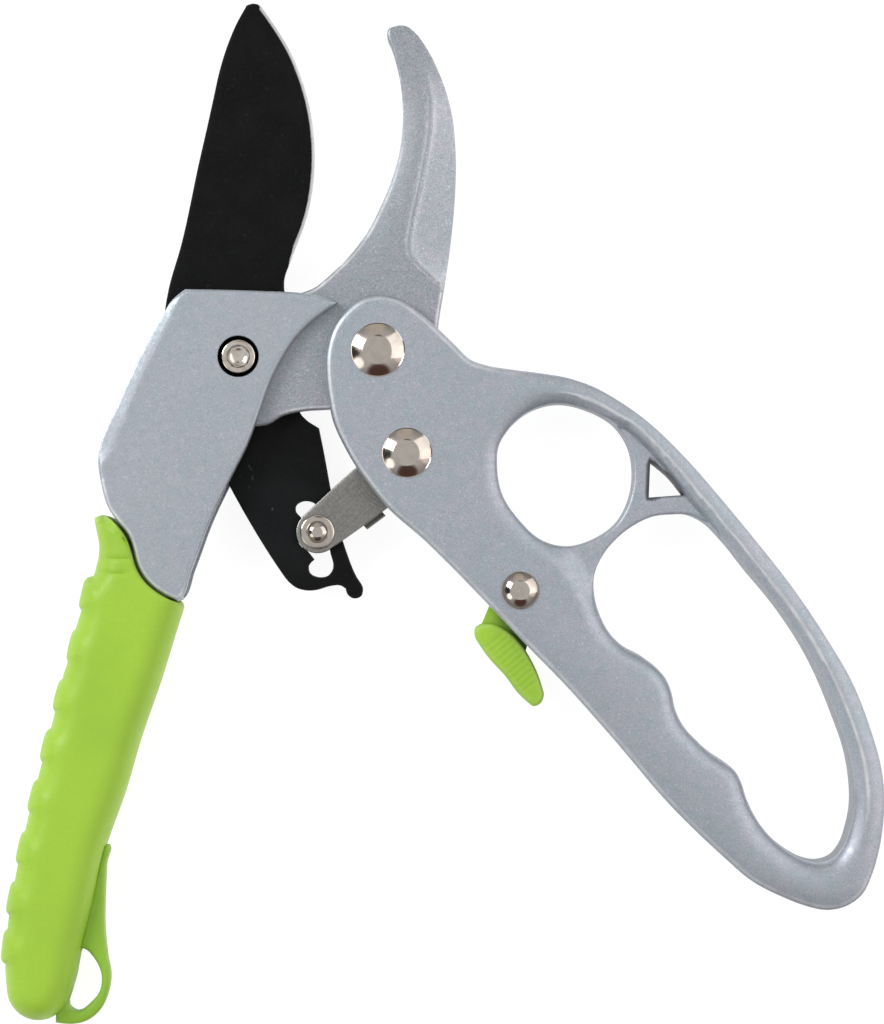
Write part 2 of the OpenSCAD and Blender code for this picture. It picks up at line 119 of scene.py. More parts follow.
def section(node, height):
    """Closed outlines where the plane at that height cuts a CAD node, the largest first."""
    bm = bmesh.new()
    bm.from_mesh(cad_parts[node].data)
    bmesh.ops.remove_doubles(bm, verts=bm.verts, dist=1e-6)
    everything = bm.verts[:] + bm.edges[:] + bm.faces[:]
    sliced = bmesh.ops.bisect_plane(
        bm, geom=everything, dist=1e-8, plane_co=(0, 0, height * MM), plane_no=(0, 0, 1))
    links = {}
    for edge in sliced["geom_cut"]:
        if isinstance(edge, bmesh.types.BMEdge):
            a, b = edge.verts
            links.setdefault(a, []).append(b)
            links.setdefault(b, []).append(a)
    loops = []
    while links:
        start = next(iter(links))
        chain, here = [start], start
        while links.get(here):
            there = links[here].pop()
            links[there].remove(here)
            if not links[here]:
                del links[here]
            here = there
            chain.append(here)
        links.pop(here, None)
        loops.append(without_straights(np.array([v.co[:2] for v in chain[:-1]]) / MM))
    bm.free()
    loops = [loop for loop in loops if len(loop) > 3]
    loops.sort(key=lambda loop: -abs(area(loop)))
    return [wound(loop, left=k == 0) for k, loop in enumerate(loops)]


def turns(loop):
    """How far the outline turns at each point, in degrees, and the chords that leave the points."""
    chord = np.roll(loop, -1, 0) - loop
    length = np.linalg.norm(chord, axis=1)
    heading = chord / length[:, None]
    cosine = (heading * np.roll(heading, 1, 0)).sum(1)
    return np.degrees(np.arccos(np.clip(cosine, -1, 1))), heading, length


def without_straights(loop):
    """The loop without the points that lie on a straight line between their neighbours."""
    loop = loop[np.linalg.norm(np.roll(loop, -1, 0) - loop, axis=1) > 1e-3]
    return loop[turns(loop)[0] > 0.2]


def smooth(loop, spacing, closed=True):
    """A smooth curve through the points, at that spacing, which keeps the corners."""
    loop = np.asarray(loop, float)
    turn, heading, length = turns(loop)
    before, before_length = np.roll(heading, 1, 0), np.roll(length, 1)
    slope = before * length[:, None] + heading * before_length[:, None]
    slope /= np.linalg.norm(slope, axis=1)[:, None] + TINY
    sharp = turn > CORNER_TURN
    count = len(loop)
    if not closed:
        sharp[0] = sharp[-1] = True
    curve = []
    for i in range(count if closed else count - 1):
        j = (i + 1) % count
        steps = max(1, round(length[i] / spacing))
        t = (np.arange(steps) / steps)[:, None]
        start = heading[i] if sharp[i] else slope[i]
        end = heading[i] if sharp[j] else slope[j]
        curve.append(
            loop[i] * (2 * t**3 - 3 * t**2 + 1) + loop[j] * (3 * t**2 - 2 * t**3)
            + length[i] * (start * (t**3 - 2 * t**2 + t) + end * (t**3 - t**2)))
    if not closed:
        curve.append(loop[-1:])
    return np.vstack(curve)


def distance(points, line, closed=True):
    """Distance of each point from a line of points."""
    start = line if closed else line[:-1]
    chord = (np.roll(line, -1, 0) if closed else line[1:]) - start
    squared = (chord**2).sum(1)
    result = np.empty(len(points))
    for k in range(0, len(points), CHUNK):
        gap = points[k:k + CHUNK, None] - start
        t = np.clip((gap * chord).sum(2) / squared, 0, 1)
        result[k:k + CHUNK] = ((gap - t[..., None] * chord)**2).sum(2).min(1)
    return np.sqrt(result)


def inside(points, loops):
    crossings = np.zeros(len(points), int)
    for a in loops:
        b = np.roll(a, -1, 0)
        rise = b[:, 1] - a[:, 1]
        rise[rise == 0] = 1e-12
        for k in range(0, len(points), CHUNK):
            x, y = points[k:k + CHUNK, None, 0], points[k:k + CHUNK, None, 1]
            crosses = (a[:, 1] > y) != (b[:, 1] > y)
            at = a[:, 0] + (y - a[:, 1]) / rise * (b[:, 0] - a[:, 0])
            crossings[k:k + CHUNK] += (crosses & (x < at)).sum(1)
    return crossings % 2 == 1


def beside(line, distances):
    """Lines beside a line, at those distances to its left."""
    line = np.asarray(line, float)
    left = left_of(unit(np.gradient(line, axis=0)))
    return [line + k * left for k in distances]


def step(x):
    """Smooth step from 0 to 1."""
    t = np.clip(x, 0, 1)
    return t * t * (3 - 2 * t)


def band(x, at, width):
    """1 where x is at, and 0 where it is more than about two widths away."""
    return np.exp(-((x - at) / width) ** 2)


def round_over(d, radius, depth):
    """How far a rounded edge has dropped, at distance d inside the outline."""
    t = 1 - np.clip(d / radius, 0, 1)
    return depth * (1 - np.sqrt(1 - t * t))


def rounding_rings(radius, count=5):
    return [radius * (1 - math.cos(k * math.pi / 2 / count)) for k in range(1, count + 1)]


# ---- Meshes ----------------------------------------------------------------

SHARP_ANGLE = math.radians(42)


def new_object(name, data):
    obj = bpy.data.objects.new(name, data)
    bpy.context.scene.collection.objects.link(obj)
    return obj


def solid(name, vertices, faces):
    mesh = bpy.data.meshes.new(name)
    mesh.from_pydata((np.asarray(vertices) * MM).tolist(), [], faces)
    return new_object(name, mesh)


def mark(obj, name, values):
    """Gives each vertex a number that the material can read."""
    known = obj.data.attributes.get(name)
    marks = known or obj.data.attributes.new(name, "FLOAT", "POINT")
    values = np.broadcast_to(values, len(obj.data.vertices))
    marks.data.foreach_set("value", np.array(values, np.float32))


def marks_of(obj, name):
    values = np.zeros(len(obj.data.vertices), np.float32)
    if name in obj.data.attributes:
        obj.data.attributes[name].data.foreach_get("value", values)
    return values


def deepen_painted_shade(obj, values):
    """Raises the painted-shade mark of the vertices to at least those values."""
    mark(obj, "painted_shade", np.maximum(marks_of(obj, "painted_shade"), values))


def places(obj):
    return np.array([v.co[:] for v in obj.data.vertices]) / MM


def side_normals(loop):
    heading = turns(loop)[1]
    return left_of(unit(heading + np.roll(heading, 1, 0)))


def rim_wear(p, d):
    return 0.5 * np.exp(-np.min(d, 0) / 0.3)


WALL_STEP = 0.5
# The painted-shade mark of deep gaps and of the shaded rims round holes, which paints them nearly black
BLACK_SHADE = 2.5


def plate(name, loops, front, back, rings, spacing=0.9, creases=(), wear_and_highlight=rim_wear):
    """A closed solid between two shaped faces. front and back give the height at each point, and
    the third function how far its paint is worn and where lines of painted highlight lie, from its place
    and its distances to the loops. rings are the offsets that the mesh follows. Two marks tell the
    material where it is: one for the worn paint and the painted highlights, one for the painted shade on
    the side walls."""
    loops = [wound(smooth(loop, spacing * 0.8), left=k == 0) for k, loop in enumerate(loops)]
    points, edges = [], []

    def add(line, closed, keep):
        number = np.cumsum(keep) - 1 + sum(len(p) for p in points)
        points.append(line[keep])
        for i in range(len(line) if closed else len(line) - 1):
            j = (i + 1) % len(line)
            if keep[i] and keep[j]:
                edges.append((int(number[i]), int(number[j])))

    def clear_of_creases(p, gap):
        clear = np.ones(len(p), bool)
        for line in creases:
            clear &= distance(p, line, closed=False) > gap
        return clear

    for loop in loops:
        add(loop, True, np.ones(len(loop), bool))
    creases = [smooth(line, spacing * 0.8, closed=False) for line in creases]
    for line in creases:
        near_rim = np.min([distance(line, loop) for loop in loops], 0)
        add(line, False, inside(line, loops) & (near_rim > 0.15))
    for loop, offsets in zip(loops, rings):
        normals = side_normals(loop)
        for offset in offsets:
            ring = loop + normals * offset
            gaps = np.min([distance(ring, other) for other in loops], 0)
            keep = (gaps > 0.97 * offset) & inside(ring, loops)
            add(ring, True, keep & clear_of_creases(ring, min(0.3, 0.35 * spacing)))

    low, high = loops[0].min(0), loops[0].max(0)
    grid = []
    for k, y in enumerate(np.arange(low[1], high[1], spacing * math.sqrt(3) / 2)):
        x = np.arange(low[0] + (k % 2) * spacing / 2, high[0], spacing)
        grid.append(np.stack([x, np.full(len(x), y)], 1))
    grid = np.vstack(grid)
    grid = grid[inside(grid, loops)]
    for loop, offsets in zip(loops, rings):
        grid = grid[distance(grid, loop) > max([0.1, *offsets]) + 0.45 * spacing]
    points.append(grid[clear_of_creases(grid, 0.45 * spacing)])

    out = delaunay_2d_cdt([Vector(p) for p in np.vstack(points)], edges, [], 0, 1e-5, False)
    flat = np.array([v[:] for v in out[0]])
    triangles = np.array(out[2])
    triangles = triangles[inside(flat[triangles].mean(1), loops)]
    used, triangles = np.unique(triangles, return_inverse=True)
    flat, triangles = flat[used], triangles.reshape(-1, 3)

    gaps = [distance(flat, loop) for loop in loops]
    z_front, z_back = front(flat, gaps), back(flat, gaps)
    count = len(flat)
    faces = triangles.tolist() + (triangles[:, ::-1] + count).tolist()
    border = {}
    for a, b, c in triangles.tolist():
        for i, j in ((a, b), (b, c), (c, a)):
            if (j, i) in border:
                del border[(j, i)]
            else:
                border[(i, j)] = True
    rim = sorted({i for pair in border for i in pair})
    order = {i: k for k, i in enumerate(rim)}
    reach = np.minimum(WALL_STEP, (z_front[rim] - z_back[rim]) / 3)
    upper, lower = 2 * count, 2 * count + len(rim)
    for i, j in border:
        a, b = order[i], order[j]
        faces += [(j, i, upper + a, upper + b), (upper + b, upper + a, lower + a, lower + b),
                  (lower + b, lower + a, i + count, j + count)]
    obj = solid(name, np.vstack([
        np.column_stack([flat, z_front]), np.column_stack([flat, z_back]),
        np.column_stack([flat[rim], z_front[rim] - reach]),
        np.column_stack([flat[rim], z_back[rim] + reach])]), faces)
    on_wall = np.arange(len(obj.data.vertices)) >= 2 * count
    # The worn mark carries real rubbing at the rims and, from the guard's, head's and hook's functions,
    # lines of painted highlight
    worn = wear_and_highlight(flat, gaps)
    mark(obj, "worn", np.concatenate([worn, worn, np.zeros(2 * len(rim))]))
    # Painted shade: the side walls all get the shade mark, which the materials darken
    mark(obj, "painted_shade", on_wall)
    return obj


def loft(name, rings):
    """A closed solid through rings of points, which turn left as seen from beyond the last."""
    count = len(rings[0])
    last = (len(rings) - 1) * count
    faces = [list(range(count))[::-1], list(range(last, last + count))]
    for start in range(0, last, count):
        for i in range(start, start + count):
            j = start + (i + 1) % count
            faces.append((i, j, j + count, i + count))
    return solid(name, np.vstack(rings), faces)


def at_height(outline, z):
    return np.column_stack([outline, np.full(len(outline), z)])


def prism(name, outline, low, high):
    outline = wound(outline, left=True)
    return loft(name, [at_height(outline, low), at_height(outline, high)])


def lathe(name, at, profile, sides=96):
    """A solid of revolution. The profile runs up from the axis to the axis again."""
    degrees = np.arange(sides) * 360 / sides
    rings = [at_height(on_circle(at, r, degrees), z) for r, z in profile[1:-1]]
    vertices = np.vstack([(*at, profile[0][1]), *rings, (*at, profile[-1][1])])
    last = len(vertices) - 1
    top = last - sides
    faces = []
    for k in range(sides):
        n = (k + 1) % sides
        faces += [(0, 1 + n, 1 + k), (top + k, top + n, last)]
        faces += [(a + k, a + n, a + sides + n, a + sides + k) for a in range(1, top, sides)]
    return solid(name, vertices, faces)


def bar_outline(a, r, b, q, steps=14):
    """Outline of a bar with round ends, of radius r at a and q at b."""
    a, b = np.array(a, float), np.array(b, float)
    turn = math.degrees(math.atan2(*(b - a)[::-1]))
    lean = math.degrees(math.acos((r - q) / np.linalg.norm(b - a)))
    return np.vstack([on_circle(a, r, np.linspace(turn + lean, turn + 360 - lean, steps)),
                      on_circle(b, q, np.linspace(turn - lean, turn + lean, steps))])


def combine(base, operation, *tools):
    """The base with the tools cut out of it or joined to it."""
    for tool in tools:
        boolean = base.modifiers.new("combine", "BOOLEAN")
        boolean.operation = operation
        boolean.solver = "MANIFOLD"
        boolean.object = tool
        graph = bpy.context.evaluated_depsgraph_get()
        result = bpy.data.meshes.new_from_object(base.evaluated_get(graph), depsgraph=graph)
        base.modifiers.clear()
        old = base.data
        base.data = result
        bpy.data.meshes.remove(old)
        bpy.data.meshes.remove(tool.data)


def cut(base, *tools):
    combine(base, "DIFFERENCE", *tools)


def join(base, *tools):
    combine(base, "UNION", *tools)


def rod(at, radius, low, high):
    return lathe("tool", at, [(0, low), (radius, low), (radius, high), (0, high)], 64)


# ---- Materials -------------------------------------------------------------

class Nodes:
    """Adds nodes to a tree. Inputs are sockets of other nodes, or constants."""

    def __init__(self, tree):
        self.tree = tree

    def put(self, socket, value):
        if isinstance(value, bpy.types.NodeSocket):
            self.tree.links.new(value, socket)
        else:
            socket.default_value = value

    def add(self, kind, inputs=(), **settings):
        node = self.tree.nodes.new("ShaderNode" + kind)
        for key, value in settings.items():
            setattr(node, key, value)
        for key, value in dict(inputs).items():
            self.put(node.inputs[key], value)
        return node

    def math(self, operation, a, b=0.0, clamp=False):
        return self.add("Math", {0: a, 1: b}, operation=operation, use_clamp=clamp).outputs[0]

    def times(self, a, b):
        return self.math("MULTIPLY", a, b)

    def plus(self, a, b):
        return self.math("ADD", a, b)

    def most(self, a, b):
        return self.math("MAXIMUM", a, b)

    def vector(self, operation, a, b=(0, 0, 0), result="Vector"):
        return self.add("VectorMath", {0: a, 1: b}, operation=operation).outputs[result]

    def ramp(self, value, low, high, out_low=0.0, out_high=1.0):
        """value from low to high becomes out_low to out_high, smoothly, and stays there beyond."""
        return self.add("MapRange", {
            "Value": value, "From Min": low, "From Max": high, "To Min": out_low, "To Max": out_high,
        }, interpolation_type="SMOOTHSTEP").outputs["Result"]

    def mix(self, factor, a, b):
        node = self.add("Mix", data_type="RGBA")
        sockets = {socket.identifier: socket for socket in node.inputs}
        self.put(sockets["Factor_Float"], factor)
        for name, value in (("A_Color", a), ("B_Color", b)):
            self.put(sockets[name], value if isinstance(value, bpy.types.NodeSocket) else (*value, 1.0))
        return next(socket for socket in node.outputs if socket.identifier == "Result_Color")


class Shader(Nodes):
    """One material's nodes."""

    def __init__(self, name, **values):
        self.material = bpy.data.materials.new(name)
        self.material.use_nodes = True
        super().__init__(self.material.node_tree)
        self.surface = self.tree.nodes["Principled BSDF"]
        for key, value in values.items():
            self.surface.inputs[key.replace("_", " ")].default_value = value
        self.place = self.add("TexCoord").outputs["Object"]

    def noise(self, scale, detail=2, roughness=0.5, at=None):
        return self.add("TexNoise", {
            "Vector": at or self.place, "Scale": scale, "Detail": detail, "Roughness": roughness,
        }).outputs["Fac"]

    def cells(self, scale):
        """A random number for each small cell."""
        node = self.add("TexVoronoi", {"Vector": self.place, "Scale": scale})
        return self.math("FRACT", self.times(node.outputs["Color"], 7.31))

    def stretched(self, size, turn=0.0, at=(0, 0)):
        """Coordinates from a place in mm, along axes turned about Z by that many degrees, in
        units of that size along each."""
        return self.add("Mapping", {
            "Vector": self.place, "Location": (at[0] * MM, at[1] * MM, 0),
            "Rotation": (0, 0, math.radians(turn)), "Scale": size,
        }, vector_type="TEXTURE").outputs["Vector"]

    def away_from(self, at, where=None):
        """Distance from the vertical axis through a place."""
        flat = self.vector("MULTIPLY", where or self.place, (1, 1, 0))
        return self.vector("DISTANCE", flat, (*at, 0), "Value")

    def spot(self, at, half_length, half_width, turn):
        """1 in the middle of a small oval mark, 0 outside it."""
        where = self.stretched((half_length * MM, half_width * MM, 1), turn, at)
        return self.ramp(self.away_from((0, 0), where), 1.0, 0.2)

    def attribute(self, name):
        return self.add("Attribute", attribute_name=name).outputs["Fac"]

    def bump(self, height, depth, strength=1.0, under=None):
        node = self.add("Bump", {"Height": height, "Distance": depth, "Strength": strength})
        if under is not None:
            self.put(node.inputs["Normal"], under)
        return node.outputs["Normal"]

    def done(self, colour, roughness=None, normal=None, metallic=None):
        for name, value in (("Base Color", colour), ("Roughness", roughness),
                            ("Normal", normal), ("Metallic", metallic)):
            if value is not None:
                self.put(self.surface.inputs[name], value)
        return self.material


def linear(red, green, blue):
    """Linear colour of an sRGB one given from 0 to 255."""
    return tuple(c / 12.92 if c <= 0.04045 else ((c + 0.055) / 1.055) ** 2.4
                 for c in (red / 255, green / 255, blue / 255))


def silver_paint(name, cool, warm, grain, wall_shade):
    """Satin silver paint on a casting: mica flakes, faint orange peel, paler worn edges with lines of
    painted highlight, a lighter painted tone on faces marked as facing the light, and painted shade that
    darkens and dulls the walls."""
    s = Shader(name, IOR=1.5)
    drift = s.plus(s.times(s.noise(420, 3), 0.6), s.times(s.noise(60, 2), 0.4))
    colour = s.mix(s.ramp(drift, 0.40, 0.62), cool, warm)
    mottle = s.ramp(s.noise(3300, 2, 0.7), 0.3, 0.7, 1 - grain, 1 + grain)
    flakes = s.cells(4200)
    sparkle = s.ramp(flakes, 0.93, 1.0, 1.0, 1.0 + 2.2 * grain)
    dull = s.ramp(flakes, 0.0, 0.1, 1.0 - 1.2 * grain, 1.0)
    # Painted shade: the shade mark lowers the colour, specular and metallic of the walls
    kept = s.math("SUBTRACT", 1.0, s.times(s.attribute("painted_shade"), wall_shade), clamp=True)
    s.put(s.surface.inputs["Specular IOR Level"], s.times(kept, 0.5))
    # Painted light: the pale mark lightens faces that turn towards the light
    tone = s.plus(s.times(s.attribute("pale"), 0.28), kept)
    level = s.times(s.times(s.times(mottle, sparkle), dull), tone)
    shade = s.add("VectorMath", {0: colour, "Scale": level}, operation="SCALE").outputs[0]
    # The worn mark paints a paler silver: real rubbing at the rims, and lines of painted highlight along
    # crests, ridges and edges
    patches = s.ramp(s.noise(300, 4), 0.35, 0.65, 0.55, 1.0)
    rubbed_and_highlit = s.times(s.ramp(s.attribute("worn"), 0.15, 1.0), patches)
    colour = s.mix(s.times(rubbed_and_highlit, 0.8), shade, (0.84, 0.86, 0.89))
    roughness = s.plus(s.ramp(s.noise(700, 3), 0.3, 0.7, 0.36, 0.46), s.times(flakes, 0.06))
    peel = s.bump(s.noise(900, 2), 0.00006, 0.5)
    return s.done(colour, roughness, s.bump(flakes, 0.00001, 0.45, peel), s.times(kept, 0.62))


# Marks on the blade's coat near its tail: place, half length, half width, direction
SCUFFS = (((2.0, -22.0), 1.1, 0.35, -62), ((2.5, -24.3), 1.0, 0.35, -85), ((0.1, -23.7), 0.5, 0.2, 60),
          ((6.5, -30.4), 0.5, 0.3, 80), ((1.8, -26.0), 0.5, 0.2, 70))


def black_coat(name):
    """Black non-stick coat on steel: fine grain, faint scuffs and haze on the tail, pale rims,
    and the ground steel at the edge."""
    s = Shader(name, IOR=1.45, Specular_IOR_Level=0.12)
    coat = s.mix(s.ramp(s.noise(140, 4), 0.35, 0.7), (0.0028, 0.0031, 0.0032), (0.0052, 0.0055, 0.0060))
    coat = s.mix(s.ramp(s.noise(2400, 3), 0.4, 0.75, 0.0, 0.6), coat, (0.0085, 0.0088, 0.0095))
    specks = s.ramp(s.cells(2600), 0.994, 1.0)
    scratches = s.noise(420, 4, 0.6, s.stretched((6, 1, 1), 62))
    scuffed = s.times(s.ramp(scratches, 0.66, 0.78), s.ramp(s.noise(90, 2), 0.5, 0.62))
    marks = s.most(s.times(specks, 0.16), s.times(scuffed, 0.4))
    broken = s.ramp(s.noise(1300, 3), 0.35, 0.6)
    for at, half_length, half_width, turn in SCUFFS:
        marks = s.most(marks, s.times(s.spot(at, half_length, half_width, turn), broken))
    rim = s.times(s.ramp(s.attribute("worn"), 0.15, 0.5), 0.35)
    haze = s.times(s.spot((4, -30), 26, 17, -60), 0.07)
    marks = s.most(s.most(marks, rim), haze)
    coat = s.mix(marks, coat, (0.055, 0.065, 0.070))
    ground = s.ramp(s.attribute("ground"), 0.4, 0.6)
    lines = s.noise(2600, 2, 0.5, s.stretched((8, 1, 1), 20))
    steel = s.mix(lines, (0.44, 0.44, 0.47), (0.66, 0.66, 0.69))
    roughness = s.math("SUBTRACT", s.ramp(s.noise(320, 3), 0.3, 0.7, 0.42, 0.58), s.times(ground, 0.12))
    texture = s.bump(s.noise(2600, 2), 0.00002, 0.5)
    return s.done(s.mix(ground, coat, steel), roughness, texture, s.times(ground, 0.9))


def soft_green(name, bright, deep, roughness=0.46, shade_strength=0.3):
    """Soft moulded plastic: fine matt texture, painted shade on its walls and in its hollows, paler on
    worn edges.
    """
    s = Shader(name, IOR=1.46, Subsurface_Weight=0.12, Subsurface_Radius=(0.0012, 0.0014, 0.0003),
               Subsurface_Scale=1.0)
    colour = s.mix(s.ramp(s.noise(38, 3), 0.36, 0.66), bright, deep)
    speckle = s.ramp(s.noise(1500, 3), 0.35, 0.7)
    colour = s.mix(s.times(speckle, 0.25), colour, deep)
    rubbed_and_highlit = s.times(s.attribute("worn"), s.ramp(s.noise(300, 3), 0.4, 0.6, 0.4, 1.0))
    colour = s.mix(s.times(rubbed_and_highlit, 0.3), colour, (0.60, 0.74, 0.34))
    # Painted shade: the shade mark darkens walls and the catch's web towards a deep green
    shade_amount = s.times(s.attribute("painted_shade"), s.ramp(s.noise(500, 3), 0.3, 0.6, 0.6, 1.0))
    colour = s.mix(s.times(shade_amount, shade_strength), colour, (0.04, 0.11, 0.008))
    rough = s.ramp(s.noise(420, 3), 0.3, 0.7, roughness - 0.05, roughness + 0.07)
    return s.done(colour, rough, s.bump(s.noise(2300, 3), 0.00003, 0.5))


ARC_PITCH = 0.0007


def brushed(name, dark, light, rough, turn, centre_mm=None):
    """Satin steel, brushed along a direction, with painted shade where the shade mark is set. With a
    centre, faint arcs worn round it.
    """
    s = Shader(name, Metallic=1.0)
    grain = s.noise(2600, 3, 0.6, s.stretched((14, 1, 1), turn))
    speckle = s.noise(2400, 3, 0.6)
    cloud = s.noise(180, 4)
    height = grain
    shade = s.plus(s.times(grain, 0.35), s.times(speckle, 0.65))
    if centre_mm is not None:
        away = s.away_from(centre_mm * MM)
        ring = s.math("SINE", s.times(away, 2 * math.pi / ARC_PITCH))
        fade = s.times(s.ramp(away, 0.0165, 0.012), s.ramp(s.noise(300, 2), 0.4, 0.6))
        arcs = s.times(s.ramp(ring, -0.2, 0.8), fade)
        shade = s.math("SUBTRACT", shade, s.times(arcs, 0.14))
        height = s.plus(height, s.times(arcs, 0.4))
    colour = s.mix(s.ramp(shade, 0.3, 0.7), dark, light)
    colour = s.mix(s.ramp(cloud, 0.45, 0.75, 0.0, 0.35), colour, dark)
    # Painted shade: darkens the link's bent bridge, which faces away from the light
    colour = s.mix(s.times(s.attribute("painted_shade"), 0.6), colour, (0.045, 0.04, 0.03))
    colour = s.mix(s.times(s.attribute("worn"), 0.5), colour, (0.62, 0.61, 0.59))
    roughness = s.ramp(cloud, 0.3, 0.7, rough - 0.05, rough + 0.08)
    return s.done(colour, roughness, s.bump(height, 0.00001, 0.4))


def polished(name, base, worn, rough, dent=0.00002):
    """Plated metal with fine hairlines, faint clouds, small marks, and painted shade in its hollows."""
    s = Shader(name, Metallic=1.0)
    cloud = s.noise(520, 4)
    colour = s.mix(s.ramp(cloud, 0.4, 0.7), base, worn)
    # Painted shade: darkens the bolt's recess and socket floor towards black
    colour = s.mix(s.attribute("painted_shade"), colour, (0.03, 0.025, 0.02))
    hairs = s.ramp(s.noise(1900, 3, 0.6, s.stretched((12, 1, 1), 35)), 0.58, 0.75)
    roughness = s.plus(s.ramp(cloud, 0.3, 0.7, rough, rough + 0.07), s.times(hairs, 0.1))
    dents = s.bump(s.noise(650, 2), dent, 0.45)
    return s.done(colour, roughness, s.bump(hairs, 0.000004, 0.4, dents))


# The last number is how strongly painted shade darkens each part's walls
PAINT_HEAD = silver_paint("silver_casting_paint", (0.405, 0.455, 0.505), (0.440, 0.462, 0.515), 0.09, 0.7)
PAINT_GUARD = silver_paint("silver_guard_paint", (0.395, 0.450, 0.500), (0.442, 0.458, 0.520), 0.11, 0.4)
PAINT_HOOK = silver_paint("silver_hook_paint", (0.342, 0.382, 0.416), (0.383, 0.389, 0.434), 0.17, 0.4)
COAT = black_coat("black_nonstick_coat")
GREEN = soft_green("green_soft_plastic", linear(165, 208, 61), linear(153, 196, 57))
# The hang loop's green is a darker copy of the grip's: painted shade, as the loop sits lower and further
# back
SHADED_GREEN_LOOP = soft_green("green_loop_shaded_plastic", linear(152, 200, 58), linear(139, 186, 53))
GREEN_CATCH = soft_green("green_catch_plastic", linear(170, 215, 64), linear(154, 198, 57), 0.4, 0.85)
LINK_STEEL = brushed("link_brushed_steel", (0.215, 0.21, 0.20), (0.335, 0.33, 0.315), 0.4, 41, LINK_ROOT)
SPRING_STEEL = brushed("spring_wire_steel", (0.22, 0.22, 0.22), (0.42, 0.42, 0.42), 0.3, 0)
NICKEL = polished("nickel_plate", (0.60, 0.545, 0.49), (0.54, 0.485, 0.435), 0.09)
BOLT_NICKEL = polished("bolt_nickel_plate", (0.74, 0.69, 0.62), (0.58, 0.52, 0.46), 0.11, 0.00012)
BRONZE = polished("sintered_bronze", (0.66, 0.44, 0.20), (0.45, 0.29, 0.13), 0.28)


def place(obj, material, body, node):
    """Gives a piece its shading, material and body, and hides the CAD node that it stands for."""
    for face in obj.data.polygons:
        face.use_smooth = True
    obj.data.set_sharp_from_angle(angle=SHARP_ANGLE)
    obj.data.materials.clear()
    obj.data.materials.append(material)
    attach(obj, body)
    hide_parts(node)


# ---- Guard handle ----------------------------------------------------------

BORE_CENTRES = (HANDLE, LINK_ROOT, CATCH, PIVOT, PIN)
# The guard's rivets: node, shank radius, head radius
RIVETS = (("handle_rivet", 3.2, 5.35), ("link_rivet", 2.5, 4.95), ("catch_rivet", 2.0, 3.75))


def without_bores(loops):
    """The loops without the round bores that a rivet fills."""
    def is_bore(loop):
        middle = (loop.min(0) + loop.max(0)) / 2
        return any(np.linalg.norm(middle - c) < 0.5 for c in BORE_CENTRES)
    return [loop for k, loop in enumerate(loops) if k == 0 or not is_bore(loop)]


# The bow lies to the right of this line, and the flat cheek and the finger bar to its left
BOW_AT = np.array([51.6, -2.8])
BOW_SIDE = np.array([0.816, 0.579])
# The bow's crest runs at this share of its width, out from its inner edge
CREST = 0.43
# Falls of the bow's two sides, as shares of its width
BOW_INNER_FALL, BOW_OUTER_FALL, BOW_RIM_FALL = 0.17, 0.05, 0.16
# The sunk web between the finger ring, the window and the bow
WEB_DROP = 1.7
WEB = np.array([
    (72.6, -12.2), (77.3, -14.2), (82.2, -18.6), (86.5, -23.8), (90.4, -28.8), (93.2, -32),
    (95.6, -35.6), (94, -38), (80, -40), (71, -47.4), (69, -45.5), (65.3, -40.3), (62.5, -37.5), (62, -35),
    (72, -30),
])
WEB_BOW_LINE = WEB[0:7]
WEB_EDGE = 0.45
RIM_W, RIM_DROP = 1.3, 1.2
RING_RIM_W, RING_RIM_DROP = 3.8, 1.7
BAR_RIM_W, BAR_RIM_DROP = 4.6, 2.6


def bow_share(p):
    return step(((p - BOW_AT) @ BOW_SIDE + 2) / 14)


def from_web(p):
    """Distance outside the web's outline, negative inside it."""
    return distance(p, WEB) * np.where(inside(p, [WEB]), -1, 1)


def across_bow(p, outer, hole):
    """Place across the bow, from 0 at its inner edge to 1 at its outer edge, and its width."""
    inner = np.clip(np.minimum(hole, from_web(p)), 0, None)
    width = inner + outer + TINY
    return inner / width, np.minimum(width, 8)


def guard_drop(p, d):
    outer, window, ring, triangle = d
    bow = bow_share(p)
    hole = np.minimum(ring, window)
    share, width = across_bow(p, outer, hole)
    down_in = 1 - share / CREST
    down_out = np.clip((share - CREST) / (1 - CREST), 0, 1)
    bow_drop = width * np.where(
        down_in > 0, BOW_INNER_FALL * down_in * (0.8 + 0.2 * down_in),
        BOW_OUTER_FALL * down_out + BOW_RIM_FALL * (1 - np.sqrt(1 - down_out**2)))
    rim = round_over(outer, RIM_W, RIM_DROP)
    ring_rim = round_over(ring, RING_RIM_W, RING_RIM_DROP)
    bar_rim = round_over(window, BAR_RIM_W, BAR_RIM_DROP)
    flat = np.maximum(rim, np.cbrt(ring_rim**3 + bar_rim**3))
    across = 2 * outer / (outer + window + TINY) - 1
    flat = np.maximum(flat, 0.75 * across**2 * step((-p[:, 1] - 42) / 18))
    drop = bow * bow_drop + (1 - bow) * flat
    soft = WEB_EDGE * bow + 3.2 * (1 - bow)
    in_web = 1 - step((from_web(p) + soft) / (2 * soft))
    sunk = WEB_DROP + round_over(np.minimum(hole, triangle), 0.5, 0.4)
    return drop * (1 - in_web) + sunk * in_web


def guard_wear_and_highlights(p, d):
    outer, window, ring, triangle = d
    bow = bow_share(p)
    share, width = across_bow(p, outer, np.minimum(ring, window))
    # Painted highlight: a pale line along the bow's crest, and one along the cheek's outer edge; rim_wear
    # is real rubbing at the rims
    crest = band((share - CREST) * width, 0, 0.3)
    edge = 0.75 * band(outer, 0.7, 0.4)
    return np.maximum(bow**3 * crest, np.maximum((1 - bow) * edge, rim_wear(p, d)))


